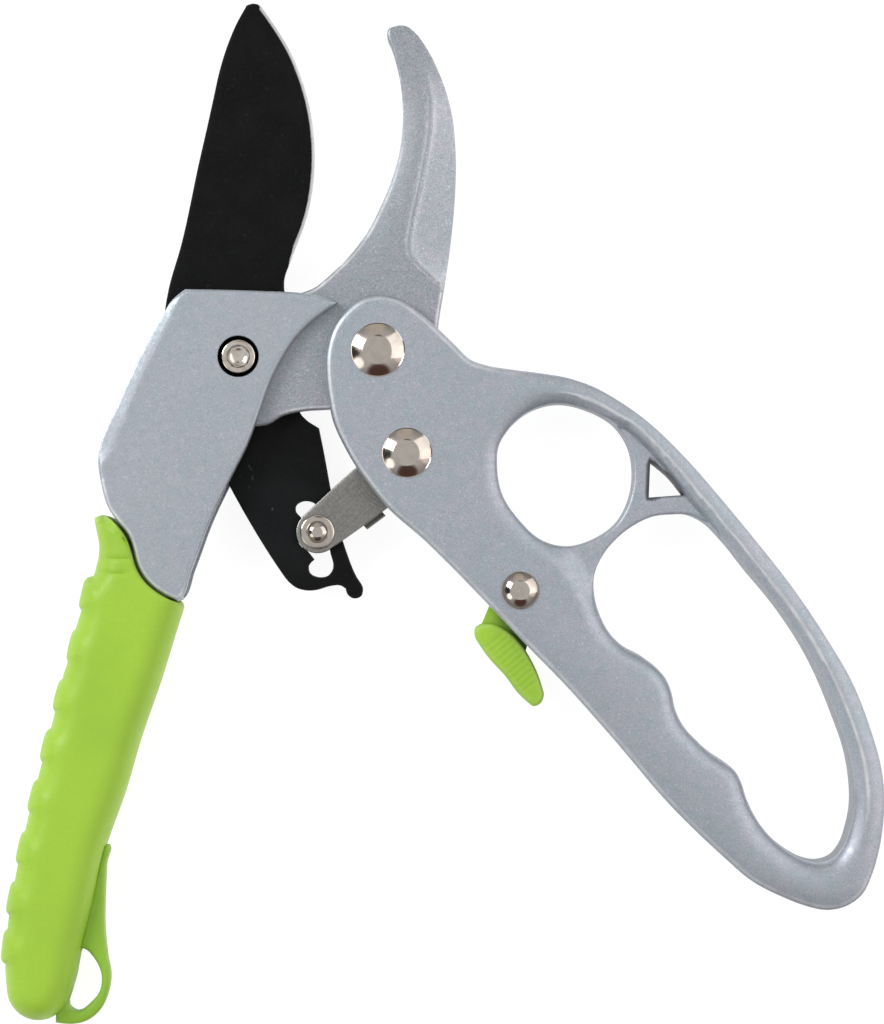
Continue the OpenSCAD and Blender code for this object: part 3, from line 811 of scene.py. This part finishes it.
def crest_line(loops):
    """The bow's crest, from the finger ring past the web and the window to the toe."""
    outer, window, ring = loops[:3]
    line = []
    for part in (smooth(ring, 1.2), smooth(WEB_BOW_LINE, 1.2, closed=False), smooth(window, 1.2)):
        away = left_of(unit(np.gradient(part, axis=0)))
        crest = part + away * CREST * distance(part, outer)[:, None]
        hole = np.minimum(distance(crest, ring), distance(crest, window))
        share = across_bow(crest, distance(crest, outer), hole)[0]
        kept = crest[(np.abs(share - CREST) < 0.03) & (bow_share(crest) > 0.3)]
        jumps = np.linalg.norm(np.roll(kept, -1, 0) - kept, axis=1)
        line.append(np.roll(kept, -int(np.argmax(jumps)) - 1, 0))
    return np.vstack(line)


CHEEK_GAP = [
    (46, 12), (44.5, 3), (42.2, -4), (41.2, -12), (41, -20), (41.4, -30), (42.6, -36),
    (40, -46), (10, -30), (10, 16),
]
POCKET_TO, POCKET_R = (50.5, -58), 5.8
# Width of the painted shade round the lightening hole, on its right and on its left
TRIANGLE_SHADE = (0.35, 1.0)


def guard_casting():
    loops = without_bores(section("guard_handle", Z_FRONT - BELOW_FACE))
    outer_rings = rounding_rings(RIM_W) + [1.8, 2.4]
    inner_rings = [0.08, 0.3, 0.7, 1.2, 1.8, 2.4]
    obj = plate(
        "guard_casting", loops,
        lambda p, d: Z_FRONT - guard_drop(p, d), lambda p, d: Z_REAR + guard_drop(p, d),
        [outer_rings, inner_rings, inner_rings, [0.08, 0.3, 0.6, 1.0]], 0.8,
        creases=[crest_line([wound(loop, k == 0) for k, loop in enumerate(loops)]),
                 *beside(smooth(WEB_BOW_LINE, 1.0, closed=False), (-WEB_EDGE, 0, WEB_EDGE))],
        wear_and_highlight=guard_wear_and_highlights)
    # Painted shade: a dark rim round the lightening hole, wider on its left
    where, triangle = places(obj)[:, :2], smooth(loops[-1], 0.6)
    left_share = step((triangle[:, 0].mean() - where[:, 0]) / 2)
    width = TRIANGLE_SHADE[0] + (TRIANGLE_SHADE[1] - TRIANGLE_SHADE[0]) * left_share
    shade_amount = np.clip(2 - 2 * distance(where, triangle) / width, 0, 1)
    deepen_painted_shade(obj, 0.85 * BLACK_SHADE * shade_amount)
    cut(obj,
        prism("tool", CHEEK_GAP, Z_REAR_IN, Z_FRONT_IN),
        prism("tool", bar_outline(CATCH, POCKET_R, POCKET_TO, POCKET_R + 2), Z_REAR_IN, Z_FRONT_IN),
        *(rod(centre(node), shank_r, 0, Z_GRIP_TOP) for node, shank_r, head_r in RIVETS))
    place(obj, PAINT_GUARD, "guard", "guard_handle")


# ---- Head casting ----------------------------------------------------------

HEAD_BEVEL = np.array([
    (-11.2, 13.6), (-12.3, 10.7), (-15.1, 4.5), (-19.1, -3.6), (-22.7, -12.1), (-25.0, -18.5),
    (-27.9, -22),
])
HEAD_BEVEL_DROP = 0.36
HEAD_RIM_W, HEAD_RIM_DROP = 0.7, 0.65
# Right-hand limit of the web that joins the cheeks
HEAD_GAP = [
    (-40, 8), (-16.6, 8), (-16.4, 3), (-15.4, -5), (-15.2, -14), (-14.6, -24), (-13.4, -34),
    (-12.4, -42), (-11.3, -50), (40, -50), (40, 30), (-40, 30),
]
TANG_TOP, TANG_END = (-17.5, -41), (-37.1, -117.4)
TANG_HALF_W, TANG_HALF_T = 4.4, 3.2
TANG_END_HALF_W = 4.0
RECESS_R, RECESS_DEPTH, RECESS_LEAD = 3.95, 1.9, 0.25


def on_head_bevel(p):
    ordered = HEAD_BEVEL[::-1]
    left = p[:, 0] < np.interp(p[:, 1], ordered[:, 1], ordered[:, 0])
    return left & (p[:, 1] > ordered[0, 1]) & (p[:, 0] < -9)


def head_drop(p, d):
    drop = round_over(d[0], HEAD_RIM_W, HEAD_RIM_DROP)
    crease = distance(p, HEAD_BEVEL, closed=False)
    bevel = HEAD_BEVEL_DROP * crease / (crease + d[0] + TINY)
    return np.where(on_head_bevel(p), np.maximum(drop, bevel), drop)


def head_wear_and_highlights(p, d):
    # Painted highlight: pale lines beside the grip, along the scalloped edge, and along the bevel's
    # crease; rim_wear is real rubbing at the rims
    beside_grip = (p[:, 0] < -11) & (p[:, 1] < -24)
    line = beside_grip * band(d[0], 0.5, 0.3)
    crease = 0.35 * band(distance(p, HEAD_BEVEL, closed=False), 0, 0.3)
    return np.maximum(np.maximum(line, crease), np.where(on_head_bevel(p), 0, rim_wear(p, d)))


def tang_block(room):
    """The tang, or the hole for it with that room all round."""
    return prism("tool", bar_outline(TANG_TOP, TANG_HALF_W + room, TANG_END, TANG_END_HALF_W + room),
                 Z_MID - TANG_HALF_T - room, Z_MID + TANG_HALF_T + room)


def head_casting():
    loops = without_bores(section("left_handle", Z_FRONT - BELOW_FACE))[:1]
    obj = plate(
        "head_casting", loops,
        lambda p, d: Z_FRONT - head_drop(p, d), lambda p, d: Z_REAR + head_drop(p, d),
        [rounding_rings(HEAD_RIM_W, 4) + [1.2, 1.8, 2.5]], 0.9, creases=[HEAD_BEVEL], wear_and_highlight=head_wear_and_highlights)
    recess = lathe("tool", PIVOT, [
        (0, Z_FRONT - RECESS_DEPTH), (RECESS_R, Z_FRONT - RECESS_DEPTH), (RECESS_R, Z_FRONT - RECESS_LEAD),
        (RECESS_R + 2 * RECESS_LEAD, Z_FRONT + RECESS_LEAD), (0, Z_FRONT + RECESS_LEAD)])
    cut(obj, prism("tool", HEAD_GAP, Z_REAR_IN, Z_FRONT_IN), recess, rod(PIVOT, BOLT_R, 0, Z_FRONT))
    tang = tang_block(0)
    # Painted shade: the tang, seen through the gap beside the grip, is painted nearly black
    mark(tang, "painted_shade", BLACK_SHADE)
    join(obj, tang)
    # Painted shade: the recess round the bolt head is painted nearly black
    where = places(obj)
    in_recess = np.linalg.norm(where[:, :2] - PIVOT, axis=1) < RECESS_R + 0.1
    deepen_painted_shade(obj, BLACK_SHADE * (in_recess & (where[:, 2] > Z_FRONT_IN + 0.1)))
    place(obj, PAINT_HEAD, "left_frame", "left_handle")


# ---- Hook ------------------------------------------------------------------

HOOK_RIDGE = np.array([
    (31.6, 66.6), (34.2, 62.5), (37.0, 57.5), (38.5, 51.2), (38.3, 45.3), (37.5, 40.3), (36.2, 33.5),
    (34.7, 27.2), (34.1, 23.0), (34.3, 20.5), (36.2, 18.2), (40.0, 14.8), (41.9, 13.4),
])
RIDGE_HALF_W, RIDGE_RISE = 0.5, 0.09
# Lines that the mesh follows along the ridge, in half-widths from its middle
RIDGE_MESH = np.array([-1.9, -1.4, -1, -0.5, 0, 0.5, 1, 1.4, 1.9])
HOOK_RIM_W, HOOK_RIM_DROP = 0.8, 0.7
HOOK_BORE_R = 4.25


def right_of_ridge(p):
    low = int(np.argmin(HOOK_RIDGE[:, 0] + 10 * (HOOK_RIDGE[:, 1] < 20)))
    above, below = HOOK_RIDGE[:low + 1][::-1], HOOK_RIDGE[low:][::-1]
    ridge_x = np.interp(p[:, 1], above[:, 1], above[:, 0])
    foot_x = np.interp(p[:, 1], below[:, 1], below[:, 0])
    right = np.where(p[:, 1] > above[0, 1], p[:, 0] > ridge_x, p[:, 0] > foot_x)
    return right & (p[:, 1] > below[0, 1])


def below_tip(p):
    """0 at the hook's tip, where the ridge has faded out, to 1 well below it."""
    return step((HOOK_RIDGE[0, 1] - 3 - p[:, 1]) / 16)


def ridge_lines(p, width):
    """1 on the two thin lines of the ridge, 0 away from them."""
    return band(distance(p, HOOK_RIDGE, closed=False), RIDGE_HALF_W, width) * below_tip(p)


def hook_drop(p, d):
    crease = distance(p, HOOK_RIDGE, closed=False)
    share = crease / (crease + d[0] + TINY)
    hollow = 0.6 * share**2 * step((p[:, 1] - 12) / 14)
    raised = RIDGE_RISE * (1 - ridge_lines(p, 0.3))
    relief = np.where(right_of_ridge(p), share, hollow) * below_tip(p) + raised
    return np.maximum(relief, round_over(d[0], HOOK_RIM_W, HOOK_RIM_DROP))


def hook_wear_and_highlights(p, d):
    # Painted highlight: a pale line along the hook's left edge and the two thin lines of the ridge;
    # rim_wear is real rubbing at the rims
    left_edge = ~right_of_ridge(p) & (p[:, 1] < 50) & (p[:, 0] > 8)
    rubbed_and_highlit = left_edge * band(d[0], 0.55, 0.3) * step((52 - p[:, 1]) / 20)
    return np.maximum(np.maximum(rubbed_and_highlit, 0.6 * ridge_lines(p, 0.25)), rim_wear(p, d))


def hook_forging():
    loops = without_bores(section("hook", (Z_HOOK + Z_HOOK_TOP) / 2))[:1]
    obj = plate(
        "hook_forging", loops,
        lambda p, d: Z_HOOK_TOP - hook_drop(p, d),
        lambda p, d: Z_HOOK + round_over(d[0], 0.35, 0.3),
        [rounding_rings(HOOK_RIM_W, 4) + [1.1, 1.5, 2.1]], 0.7,
        creases=beside(HOOK_RIDGE, RIDGE_HALF_W * RIDGE_MESH), wear_and_highlight=hook_wear_and_highlights)
    where = places(obj)[:, :2]
    # Painted light: the facet right of the ridge is painted lighter, as it faces the light
    mark(obj, "pale", right_of_ridge(where) * below_tip(where))
    cut(obj, rod(PIVOT, BOLT_R, 0, Z_FRONT), rod(HANDLE, HOOK_BORE_R, 0, Z_FRONT))
    place(obj, PAINT_HOOK, "left_frame", "hook")


# ---- Blade -----------------------------------------------------------------

EDGE_CENTRE = np.array([-33.1, 40.4])
EDGE_R = 48.1
EDGE_FROM, EDGE_TO, EDGE_FADE = 40.3, -28.5, 6
BEVEL_W = 4.2
EDGE_LAND = 0.3
GROUND_W, GROUND_DROP = 0.55, 0.16
BLADE_BORE_R = 4.05


def edge_angle(p):
    gap = p - EDGE_CENTRE
    return np.degrees(np.arctan2(gap[:, 1], gap[:, 0]))


def cutting_edge(outline):
    """The part of the outline that is ground to an edge, as an open line."""
    angle = edge_angle(outline)
    near = abs(EDGE_R - np.linalg.norm(outline - EDGE_CENTRE, axis=1)) < 1.5
    on_edge = (angle < EDGE_FROM) & (angle > EDGE_TO) & near
    first = int(np.argmax(on_edge & ~np.roll(on_edge, 1)))
    return np.roll(outline, -first, 0)[:on_edge.sum()]


def blade_steel():
    loops = without_bores(section("blade", Z_BLADE_TOP - 0.02))
    edge = cutting_edge(wound(smooth(loops[0], 0.6), left=True))

    def from_edge(p):
        return distance(p, edge, closed=False)

    def share(p):
        """1 along the edge, falling to 0 at its two ends."""
        angle = edge_angle(p)
        return step((angle - EDGE_TO) / EDGE_FADE) * step((EDGE_FROM - angle) / 1.5)

    def back(p, d):
        bevel = (Z_BLADE_TOP - Z_BLADE - EDGE_LAND) * np.clip(1 - from_edge(p) / BEVEL_W, 0, 1)
        return Z_BLADE + np.maximum(bevel, round_over(np.minimum(d[0], d[1]), 0.15, 0.12))

    def front(p, d):
        ground = GROUND_DROP * np.clip(1 - from_edge(p) / GROUND_W, 0, 1) * share(p)
        return Z_BLADE_TOP - np.maximum(ground, round_over(np.minimum(d[0], d[1]), 0.18, 0.14))

    obj = plate("blade_steel", loops, front, back, [[0.07, 0.18], [0.07, 0.18]], 0.9,
                creases=beside(edge, (GROUND_W, BEVEL_W)))
    where = places(obj)
    width = np.where(where[:, 2] > Z_BLADE_TOP - 0.4, GROUND_W, BEVEL_W)
    width = np.where(marks_of(obj, "painted_shade") > 0, 0.2, width)
    where = where[:, :2]
    within = 0.5 + (width * share(where) - from_edge(where)) / 0.2
    mark(obj, "ground", np.clip(np.minimum(within, 4 * share(where)), 0, 1))
    cut(obj, rod(PIVOT, BLADE_BORE_R, 0, Z_FRONT))
    place(obj, COAT, "blade", "blade")


# ---- Grip and hang loop ----------------------------------------------------

GRIP_ROUND = 5.6
GRIP_POWER = 2.2
COLLAR_ROUND = 0.9
# The edge beside the head casting is nowhere further than this from it
COLLAR_GAP = 1.4
GROOVES = (-40.3, -43.2)
GROOVE_TO_X = -20.5
GROOVE_DEPTH, GROOVE_HALF_W = 0.28, 0.22
LOOP_ROUND = 0.8


def swell(d, reach, power):
    """Height of a rounded section, from 0 at its edge to 1 at reach inside it."""
    t = 1 - np.clip(d / reach, 0, 1)
    return (1 - t**power) ** (1 / power)


def grip_sleeve():
    outline = section("grip", Z_LOOP_TOP + 2)[0]
    head = section("left_handle", Z_FRONT - BELOW_FACE)[0]
    dense = smooth(outline, 0.5)
    at_head = distance(dense, head) < COLLAR_GAP
    collar, free = dense[at_head], dense[~at_head]
    order = int(np.argmax(np.linalg.norm(np.roll(free, -1, 0) - free, axis=1))) + 1
    free = np.roll(free, -order, 0)
    half, middle = (Z_GRIP_TOP - Z_GRIP) / 2, (Z_GRIP + Z_GRIP_TOP) / 2

    def height(p):
        side = swell(distance(p, free, closed=False), GRIP_ROUND, GRIP_POWER)
        lip = distance(p, collar, closed=False)
        body = np.maximum(side, 0.06) * half
        edge = half - round_over(lip, COLLAR_ROUND, COLLAR_ROUND)
        groove = sum(GROOVE_DEPTH * band(p[:, 1], y, GROOVE_HALF_W) for y in GROOVES)
        return np.minimum(body, edge) - groove * step((GROOVE_TO_X - p[:, 0]) / 2)

    obj = plate("grip_sleeve", [outline], lambda p, d: middle + height(p), lambda p, d: middle - height(p),
                [[0.05, 0.2, 0.45, 0.8, 1.25, 1.8, 2.5, 3.3, 4.2]], 0.9,
                creases=[[(-30, y + s), (GROOVE_TO_X, y + s)] for y in GROOVES for s in (-0.5, 0, 0.5)])
    room = 0.05
    cut(obj, tang_block(room),
        prism("tool", section("hang_loop", Z_MID)[0], Z_LOOP - room, Z_LOOP_TOP + room))
    place(obj, GREEN, "left_frame", "grip")


def grip_hang_loop():
    loops = section("hang_loop", Z_MID)

    def drop(d):
        return round_over(np.min(d, 0), LOOP_ROUND, LOOP_ROUND)

    obj = plate("grip_hang_loop", loops, lambda p, d: Z_LOOP_TOP - drop(d), lambda p, d: Z_LOOP + drop(d),
                [rounding_rings(LOOP_ROUND, 4)] * len(loops), 0.8)
    place(obj, SHADED_GREEN_LOOP, "left_frame", "hang_loop")


# ---- Rivets, bolt, nut, pin ------------------------------------------------

def head_profile(radius, base, rise):
    """Domed rivet head: a rounded shoulder, a flatter crown, and a small centre dimple."""
    ball = (radius**2 + rise**2) / (2 * rise)
    crown = 0.52 * radius
    points = [(radius, base), (radius, base + 0.12 * rise)]
    points += [(r, base + rise - ball + math.sqrt(ball**2 - r**2))
               for r in np.linspace(radius * 0.97, crown, 10)]
    z_crown = points[-1][1]
    left = base + rise - z_crown
    points += [(crown * share, z_crown + left * (1 - share**2) * 0.55)
               for share in (0.93, 0.8, 0.6, 0.4, 0.2)]
    return points + [(0.3, z_crown + left * 0.5), (0, z_crown + left * 0.2)]


def rivet(node, shank_r, head_r):
    low, high = levels(node)
    front = head_profile(head_r, Z_FRONT, high - Z_FRONT)
    back = [(r, Z_REAR + Z_FRONT - z) for r, z in head_profile(head_r, Z_FRONT, Z_REAR - low)]
    profile = back[::-1] + [(shank_r, Z_REAR), (shank_r, Z_FRONT)] + front
    place(lathe(node + "_headed", centre(node), profile), NICKEL, "guard", node)


BOLT_R, BOLT_HEAD_R, BOLT_HEAD_T = 3.0, 3.45, 1.6
SOCKET_R, SOCKET_DEPTH = 2.35, 1.1
DISH_R, DISH_DEPTH = 1.85, 0.4
HEXAGON = np.arange(0, 360, 60)


def pivot_bolt():
    low, high = levels("pivot_bolt")
    seat, floor = high - BOLT_HEAD_T, high - SOCKET_DEPTH
    obj = lathe("pivot_bolt_turned", PIVOT, [
        (0, low), (BOLT_R - 0.4, low), (BOLT_R, low + 0.4), (BOLT_R, seat), (BOLT_HEAD_R, seat),
        (BOLT_HEAD_R, high - 0.3), (BOLT_HEAD_R - 0.1, high - 0.1), (BOLT_HEAD_R - 0.3, high), (0, high)])
    socket = prism("tool", on_circle(PIVOT, SOCKET_R, HEXAGON + 12), floor, high + 1)
    lead = lathe("tool", PIVOT, [(0, high - 0.45), (SOCKET_R - 0.45, high - 0.45),
                                 (SOCKET_R + 0.25, high + 0.25), (0, high + 0.25)])
    hollow = [(r, floor - DISH_DEPTH * (1 - (r / DISH_R)**2)) for r in np.linspace(0, DISH_R, 7)]
    dish = lathe("tool", PIVOT, hollow + [(DISH_R, floor + 0.1), (0, floor + 0.1)])
    cut(obj, socket, lead, dish)
    # Painted shade: darkens the gap low in the recess round the head, and the socket's floor half as much
    where = places(obj)
    reach = np.linalg.norm(where[:, :2] - PIVOT, axis=1)
    low_in_recess = (reach > BOLT_HEAD_R - 0.05) & (where[:, 2] < high - 0.4)
    at_floor = (reach < SOCKET_R + 0.1) & (reach > DISH_R + 0.1) & (abs(where[:, 2] - floor) < 0.1)
    mark(obj, "painted_shade", np.maximum(1.0 * low_in_recess, 0.5 * at_floor))
    place(obj, BOLT_NICKEL, "left_frame", "pivot_bolt")


NUT_R = 5.75


def pivot_nut():
    low, high = levels("pivot_nut")
    obj = prism("pivot_nut_turned", on_circle(PIVOT, NUT_R, HEXAGON), low, high)
    flat_r = NUT_R * math.cos(math.radians(30))
    lead = (NUT_R - flat_r) * math.tan(math.radians(30))
    cone = lathe("tool", PIVOT, [(0, low), (flat_r, low), (NUT_R + 0.1, low + lead),
                                 (NUT_R + 0.1, high), (0, high)])
    combine(obj, "INTERSECT", cone)
    cut(obj, rod(PIVOT, BOLT_R, -1, high + 1))
    place(obj, NICKEL, "left_frame", "pivot_nut")


PIN_R, PIN_FLANGE_R, PIN_HEAD_R = 1.25, 3.5, 2.1
PIN_FLANGE_T = 0.5


def ratchet_pin():
    low, high = levels("ratchet_pin")
    flange = Z_LINK_TOP + PIN_FLANGE_T
    crown = head_profile(PIN_HEAD_R, flange, high - flange)
    profile = [
        (0, low), (PIN_R - 0.15, low), (PIN_R, low + 0.15), (PIN_R, Z_LINK_TOP),
        (PIN_FLANGE_R, Z_LINK_TOP), (PIN_FLANGE_R, flange - 0.3),
        (PIN_FLANGE_R - 0.1, flange - 0.15), (PIN_FLANGE_R - 0.3, flange - 0.04),
        (PIN_HEAD_R + 0.12, flange), (PIN_HEAD_R + 0.04, flange - 0.08)]
    place(lathe("ratchet_pin_headed", PIN, profile + crown, 72), NICKEL, "link", "ratchet_pin")


# ---- Link, springs ---------------------------------------------------------

LINK_T = 1.0
LINK_END_R, LINK_ROOT_R, LINK_BORE_R = 4.3, 5.35, 3.35
# The link's root lies this far below its pivot
LINK_SPREAD = 0.85
BRIDGE_FROM, BRIDGE_LENGTH, BRIDGE_T, BRIDGE_ROOT = 7.8, 4.6, 1.3, 0.6


def link_plates():
    length = np.linalg.norm(LINK_ROOT - PIN)
    along = (LINK_ROOT - PIN) / length
    across = np.array([along[1], -along[0]])
    outline = bar_outline(PIN, LINK_END_R, LINK_ROOT + LINK_SPREAD * across, LINK_ROOT_R, 40)

    def side(low):
        return plate("link_plates", [outline],
                     lambda p, d: low + LINK_T - round_over(d[0], 0.25, 0.2),
                     lambda p, d: low + round_over(d[0], 0.25, 0.2), [rounding_rings(0.25, 3)], 1.0)

    # The bridge is bent down from the front plate: its outer corners are round
    bend = np.radians(np.linspace(0, 90, 7))
    top, bottom = Z_LINK_TOP - 0.1, Z_LINK + 0.1
    profile = [(-BRIDGE_ROOT, top)]
    profile += [(BRIDGE_T * math.sin(a), top - BRIDGE_T * (1 - math.cos(a))) for a in bend]
    profile += [(BRIDGE_T * math.cos(a), bottom + BRIDGE_T * (1 - math.sin(a))) for a in bend]
    profile += [(-BRIDGE_ROOT, bottom)]
    spread = (LINK_ROOT_R + LINK_SPREAD - LINK_END_R) / length

    def corner(forward, out, z):
        return (*(PIN + along * forward + across * (LINK_END_R + spread * forward + out)), z)

    bridge = loft("tool", [[corner(forward, *point) for point in profile[::-1]]
                           for forward in (BRIDGE_FROM, BRIDGE_FROM + BRIDGE_LENGTH)])
    # Painted shade: darkens the bent bridge, which faces away from the light
    mark(bridge, "painted_shade", 1)
    obj = side(Z_LINK_TOP - LINK_T)
    join(obj, side(Z_LINK), bridge)
    cut(obj, rod(LINK_ROOT, LINK_BORE_R, 0, Z_FRONT), rod(PIN, PIN_R, 0, Z_FRONT))
    place(obj, LINK_STEEL, "link", "link")


def wire(name, path, radius, sides=14):
    """A round wire along the path, with rounded ends."""
    along = unit(np.gradient(path, axis=0))
    out = unit(np.cross(along, (0, 0, 1.0)))
    top = np.cross(out, along)
    turn = 2 * math.pi * np.arange(sides)[:, None] / sides

    def ring(k, size, forward):
        around = np.cos(turn) * out[k] + np.sin(turn) * top[k]
        return path[k] + radius * (forward * along[k] + size * around)

    rings = [ring(k, 1, 0) for k in range(len(path))]
    return loft(name, [ring(0, 0.6, -0.7), *rings, ring(-1, 0.6, 0.7)])


def spring(name, node, at, wire_d, turns_round, leg):
    """A torsion spring: the coil that the CAD node shows, with a short straight leg at each end."""
    low, high = box_mm(node)
    turn = np.linspace(0, turns_round * 360, round(turns_round * 36))
    z = np.linspace(low[2] + wire_d / 2, high[2] - wire_d / 2, len(turn))
    path = np.column_stack([on_circle(at, (high[0] - low[0] - wire_d) / 2, turn), z])
    first, last = unit(path[[0, -1]] - path[[1, -2]])
    steps = leg * np.arange(1, 5)[:, None] / 4
    path = np.vstack([(path[0] + steps * first)[::-1], path, path[-1] + steps * last])
    place(wire(name, path, wire_d / 2), SPRING_STEEL, "guard", node)


# ---- Lock catch ------------------------------------------------------------

CATCH_SPLIT = Z_BLADE_TOP + 0.2
CATCH_WEB_TOP = Z_CATCH_TOP - 1.8
CATCH_WEB = [(50.2, -49.5), (48.4, -53.8), (52, -60), (57.4, -58.8), (60, -49)]
CATCH_BOSS_R, CATCH_BORE_R = 4.6, 2.05
PAD_AXIS = np.array([0.63, -0.777])
PAD_ACROSS = np.array([0.777, 0.63])
PAD_START = np.array([47.6, -54.4])
RIDGE_PITCH, RIDGE_FROM, RIDGE_TO = 1.15, 3.2, 16.8
RIDGE_DEPTH = 0.13


def catch_lever():
    def lowest(height):
        """The catch's lowest outline at that height: the one away from the boss."""
        return [min(section("lock_catch", height), key=lambda loop: loop[:, 1].mean())]

    def pad_front(p, d):
        along = (p - PAD_START) @ PAD_AXIS
        wave = 0.5 - 0.5 * np.cos(2 * math.pi * along / RIDGE_PITCH)
        zone = step((along - RIDGE_FROM) / 0.6) * step((RIDGE_TO - along) / 0.6) * step((d[0] - 0.5) / 0.7)
        return Z_CATCH_TOP - round_over(d[0], 0.9, 0.8) - RIDGE_DEPTH * wave * zone

    obj = plate("catch_lever", lowest(Z_CATCH_TOP - 0.3), pad_front,
                lambda p, d: CATCH_SPLIT + round_over(d[0], 0.3, 0.25),
                [rounding_rings(0.9, 4)], 0.33, wear_and_highlight=lambda p, d: 0.8 * band(d[0], 0.5, 0.5))
    rear = plate("tool", lowest(Z_CATCH + 1), lambda p, d: CATCH_SPLIT + 0.3 + 0 * d[0],
                 lambda p, d: Z_CATCH + round_over(d[0], 0.8, 0.7), [rounding_rings(0.8, 3)], 0.8)
    web = prism("tool", CATCH_WEB, CATCH_SPLIT, CATCH_WEB_TOP)
    boss = rod(CATCH, CATCH_BOSS_R, Z_CATCH, levels("catch_washer")[0] - 0.1)
    join(obj, rear, web, boss)
    cut(obj, rod(CATCH, CATCH_BORE_R, 0, Z_FRONT))
    # The web lies in the shade of the pad and the guard: painted shade darkens it, more so towards the
    # tail
    where = places(obj)
    offset = where[:, :2] - PAD_START
    dark = 0.15 * offset @ PAD_AXIS + 0.25 * (offset @ PAD_ACROSS - 3.6)
    on_web = abs(where[:, 2] - CATCH_WEB_TOP) < 0.02
    mark(obj, "painted_shade", np.where(on_web, np.clip(dark, 0, 3), marks_of(obj, "painted_shade")))
    place(obj, GREEN_CATCH, "catch", "lock_catch")


# ---- CAD nodes that stay as they are ---------------------------------------

def carried_over():
    finishes = {
        "hook_dowel": NICKEL, "catch_washer": SPRING_STEEL, "pivot_bush": BRONZE,
        "blade_washer": BRONZE, "handle_bush": BRONZE, "link_bush": BRONZE,
    }
    for name, material in finishes.items():
        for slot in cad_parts[name].material_slots:
            slot.material = material


# ---- Studio ----------------------------------------------------------------

# The camera looks straight down on the middle of the view, which is this high
VIEW_CENTRE = (40.6, -31.0)
VIEW_HEIGHT = 204.8
VIEW_PLANE_Z = 11.5
LENS = 120.0
SENSOR = 36.0
LIGHTS_AIM = (0.04, -0.03, 0.01)  # in metres, as the lights' places
FLOOR_HALF, FLOOR_Z = 3000, -0.2


def camera():
    data = bpy.data.cameras.new("camera")
    data.lens = LENS
    data.sensor_width = SENSOR
    data.clip_start = 0.01
    away = VIEW_HEIGHT * LENS / SENSOR
    obj = new_object("camera", data)
    obj.location = Vector((*VIEW_CENTRE, VIEW_PLANE_Z + away)) * MM
    bpy.context.scene.camera = obj


def area_light(name, place_m, size, power, colour=(1, 1, 1)):
    data = bpy.data.lights.new(name, "AREA")
    data.shape = "RECTANGLE"
    data.size, data.size_y = size
    data.energy = power
    data.color = colour
    obj = new_object(name, data)
    obj.location = place_m
    aim = Vector(LIGHTS_AIM) - Vector(place_m)
    obj.rotation_euler = aim.to_track_quat("-Z", "Y").to_euler()


# Patches of the studio that polished metal reflects: direction, outer and inner half-angle, colour
CARDS = (
    ((-0.88, -0.02, 0.55), 17, 11, (0.03, 0.03, 0.03)),
    ((-0.70, -0.42, 0.55), 14, 10, (1.9, 1.9, 1.85)),
    ((0.02, -0.85, 0.62), 30, 18, (0.10, 0.055, 0.045)),
    ((0.85, -0.12, 0.55), 22, 14, (1.0, 0.88, 0.84)),
    ((-0.1, 0.82, 0.5), 24, 14, (0.62, 0.58, 0.53)),
    ((0.02, 0.50, 0.86), 9, 6, (0.22, 0.21, 0.18)),
)


def studio():
    scene = bpy.context.scene
    scene.view_settings.view_transform = "Standard"
    corners = FLOOR_HALF * np.array([(-1, -1), (1, -1), (1, 1), (-1, 1)])
    floor = solid("floor", at_height(corners, FLOOR_Z), [(0, 1, 2, 3)])
    s = Shader("pale_floor", Roughness=0.8, Emission_Strength=0.9, Emission_Color=(1, 1, 1, 1))
    floor.data.materials.append(s.done(s.mix(s.noise(6, 2), (0.19, 0.19, 0.19), (0.21, 0.21, 0.21))))

    world = bpy.data.worlds.new("soft_studio")
    scene.world = world
    world.use_nodes = True
    n = Nodes(world.node_tree)
    direction = n.add("TexCoord").outputs["Generated"]
    light = n.ramp(n.add("SeparateXYZ", {0: direction}).outputs["Z"], 0.15, 0.95, 0.25, 0.66)
    for toward, wide, narrow, colour in CARDS:
        near = n.vector("DOT_PRODUCT", direction, Vector(toward).normalized(), "Value")
        edges = [math.cos(math.radians(angle)) for angle in (wide, narrow)]
        light = n.mix(n.ramp(near, *edges), light, colour)
    n.put(n.tree.nodes["Background"].inputs["Color"], light)

    area_light("key_left", (-0.62, 0.30, 0.60), (0.35, 0.5), 4.6)
    area_light("fill_right", (0.75, 0.2, 0.55), (0.95, 1.0), 3.1, (1.0, 0.96, 0.95))


# ---- The object ------------------------------------------------------------

camera()
studio()
guard_casting()
head_casting()
hook_forging()
blade_steel()
grip_sleeve()
grip_hang_loop()
for node, shank_r, head_r in RIVETS:
    rivet(node, shank_r, head_r)
pivot_bolt()
pivot_nut()
ratchet_pin()
link_plates()
spring("handle_return_spring", "return_spring", HANDLE, 1.1, 2.5, 3.5)
spring("link_torsion_spring", "link_spring", LINK_ROOT, 0.7, 2.25, 2.0)
catch_lever()
carried_over()
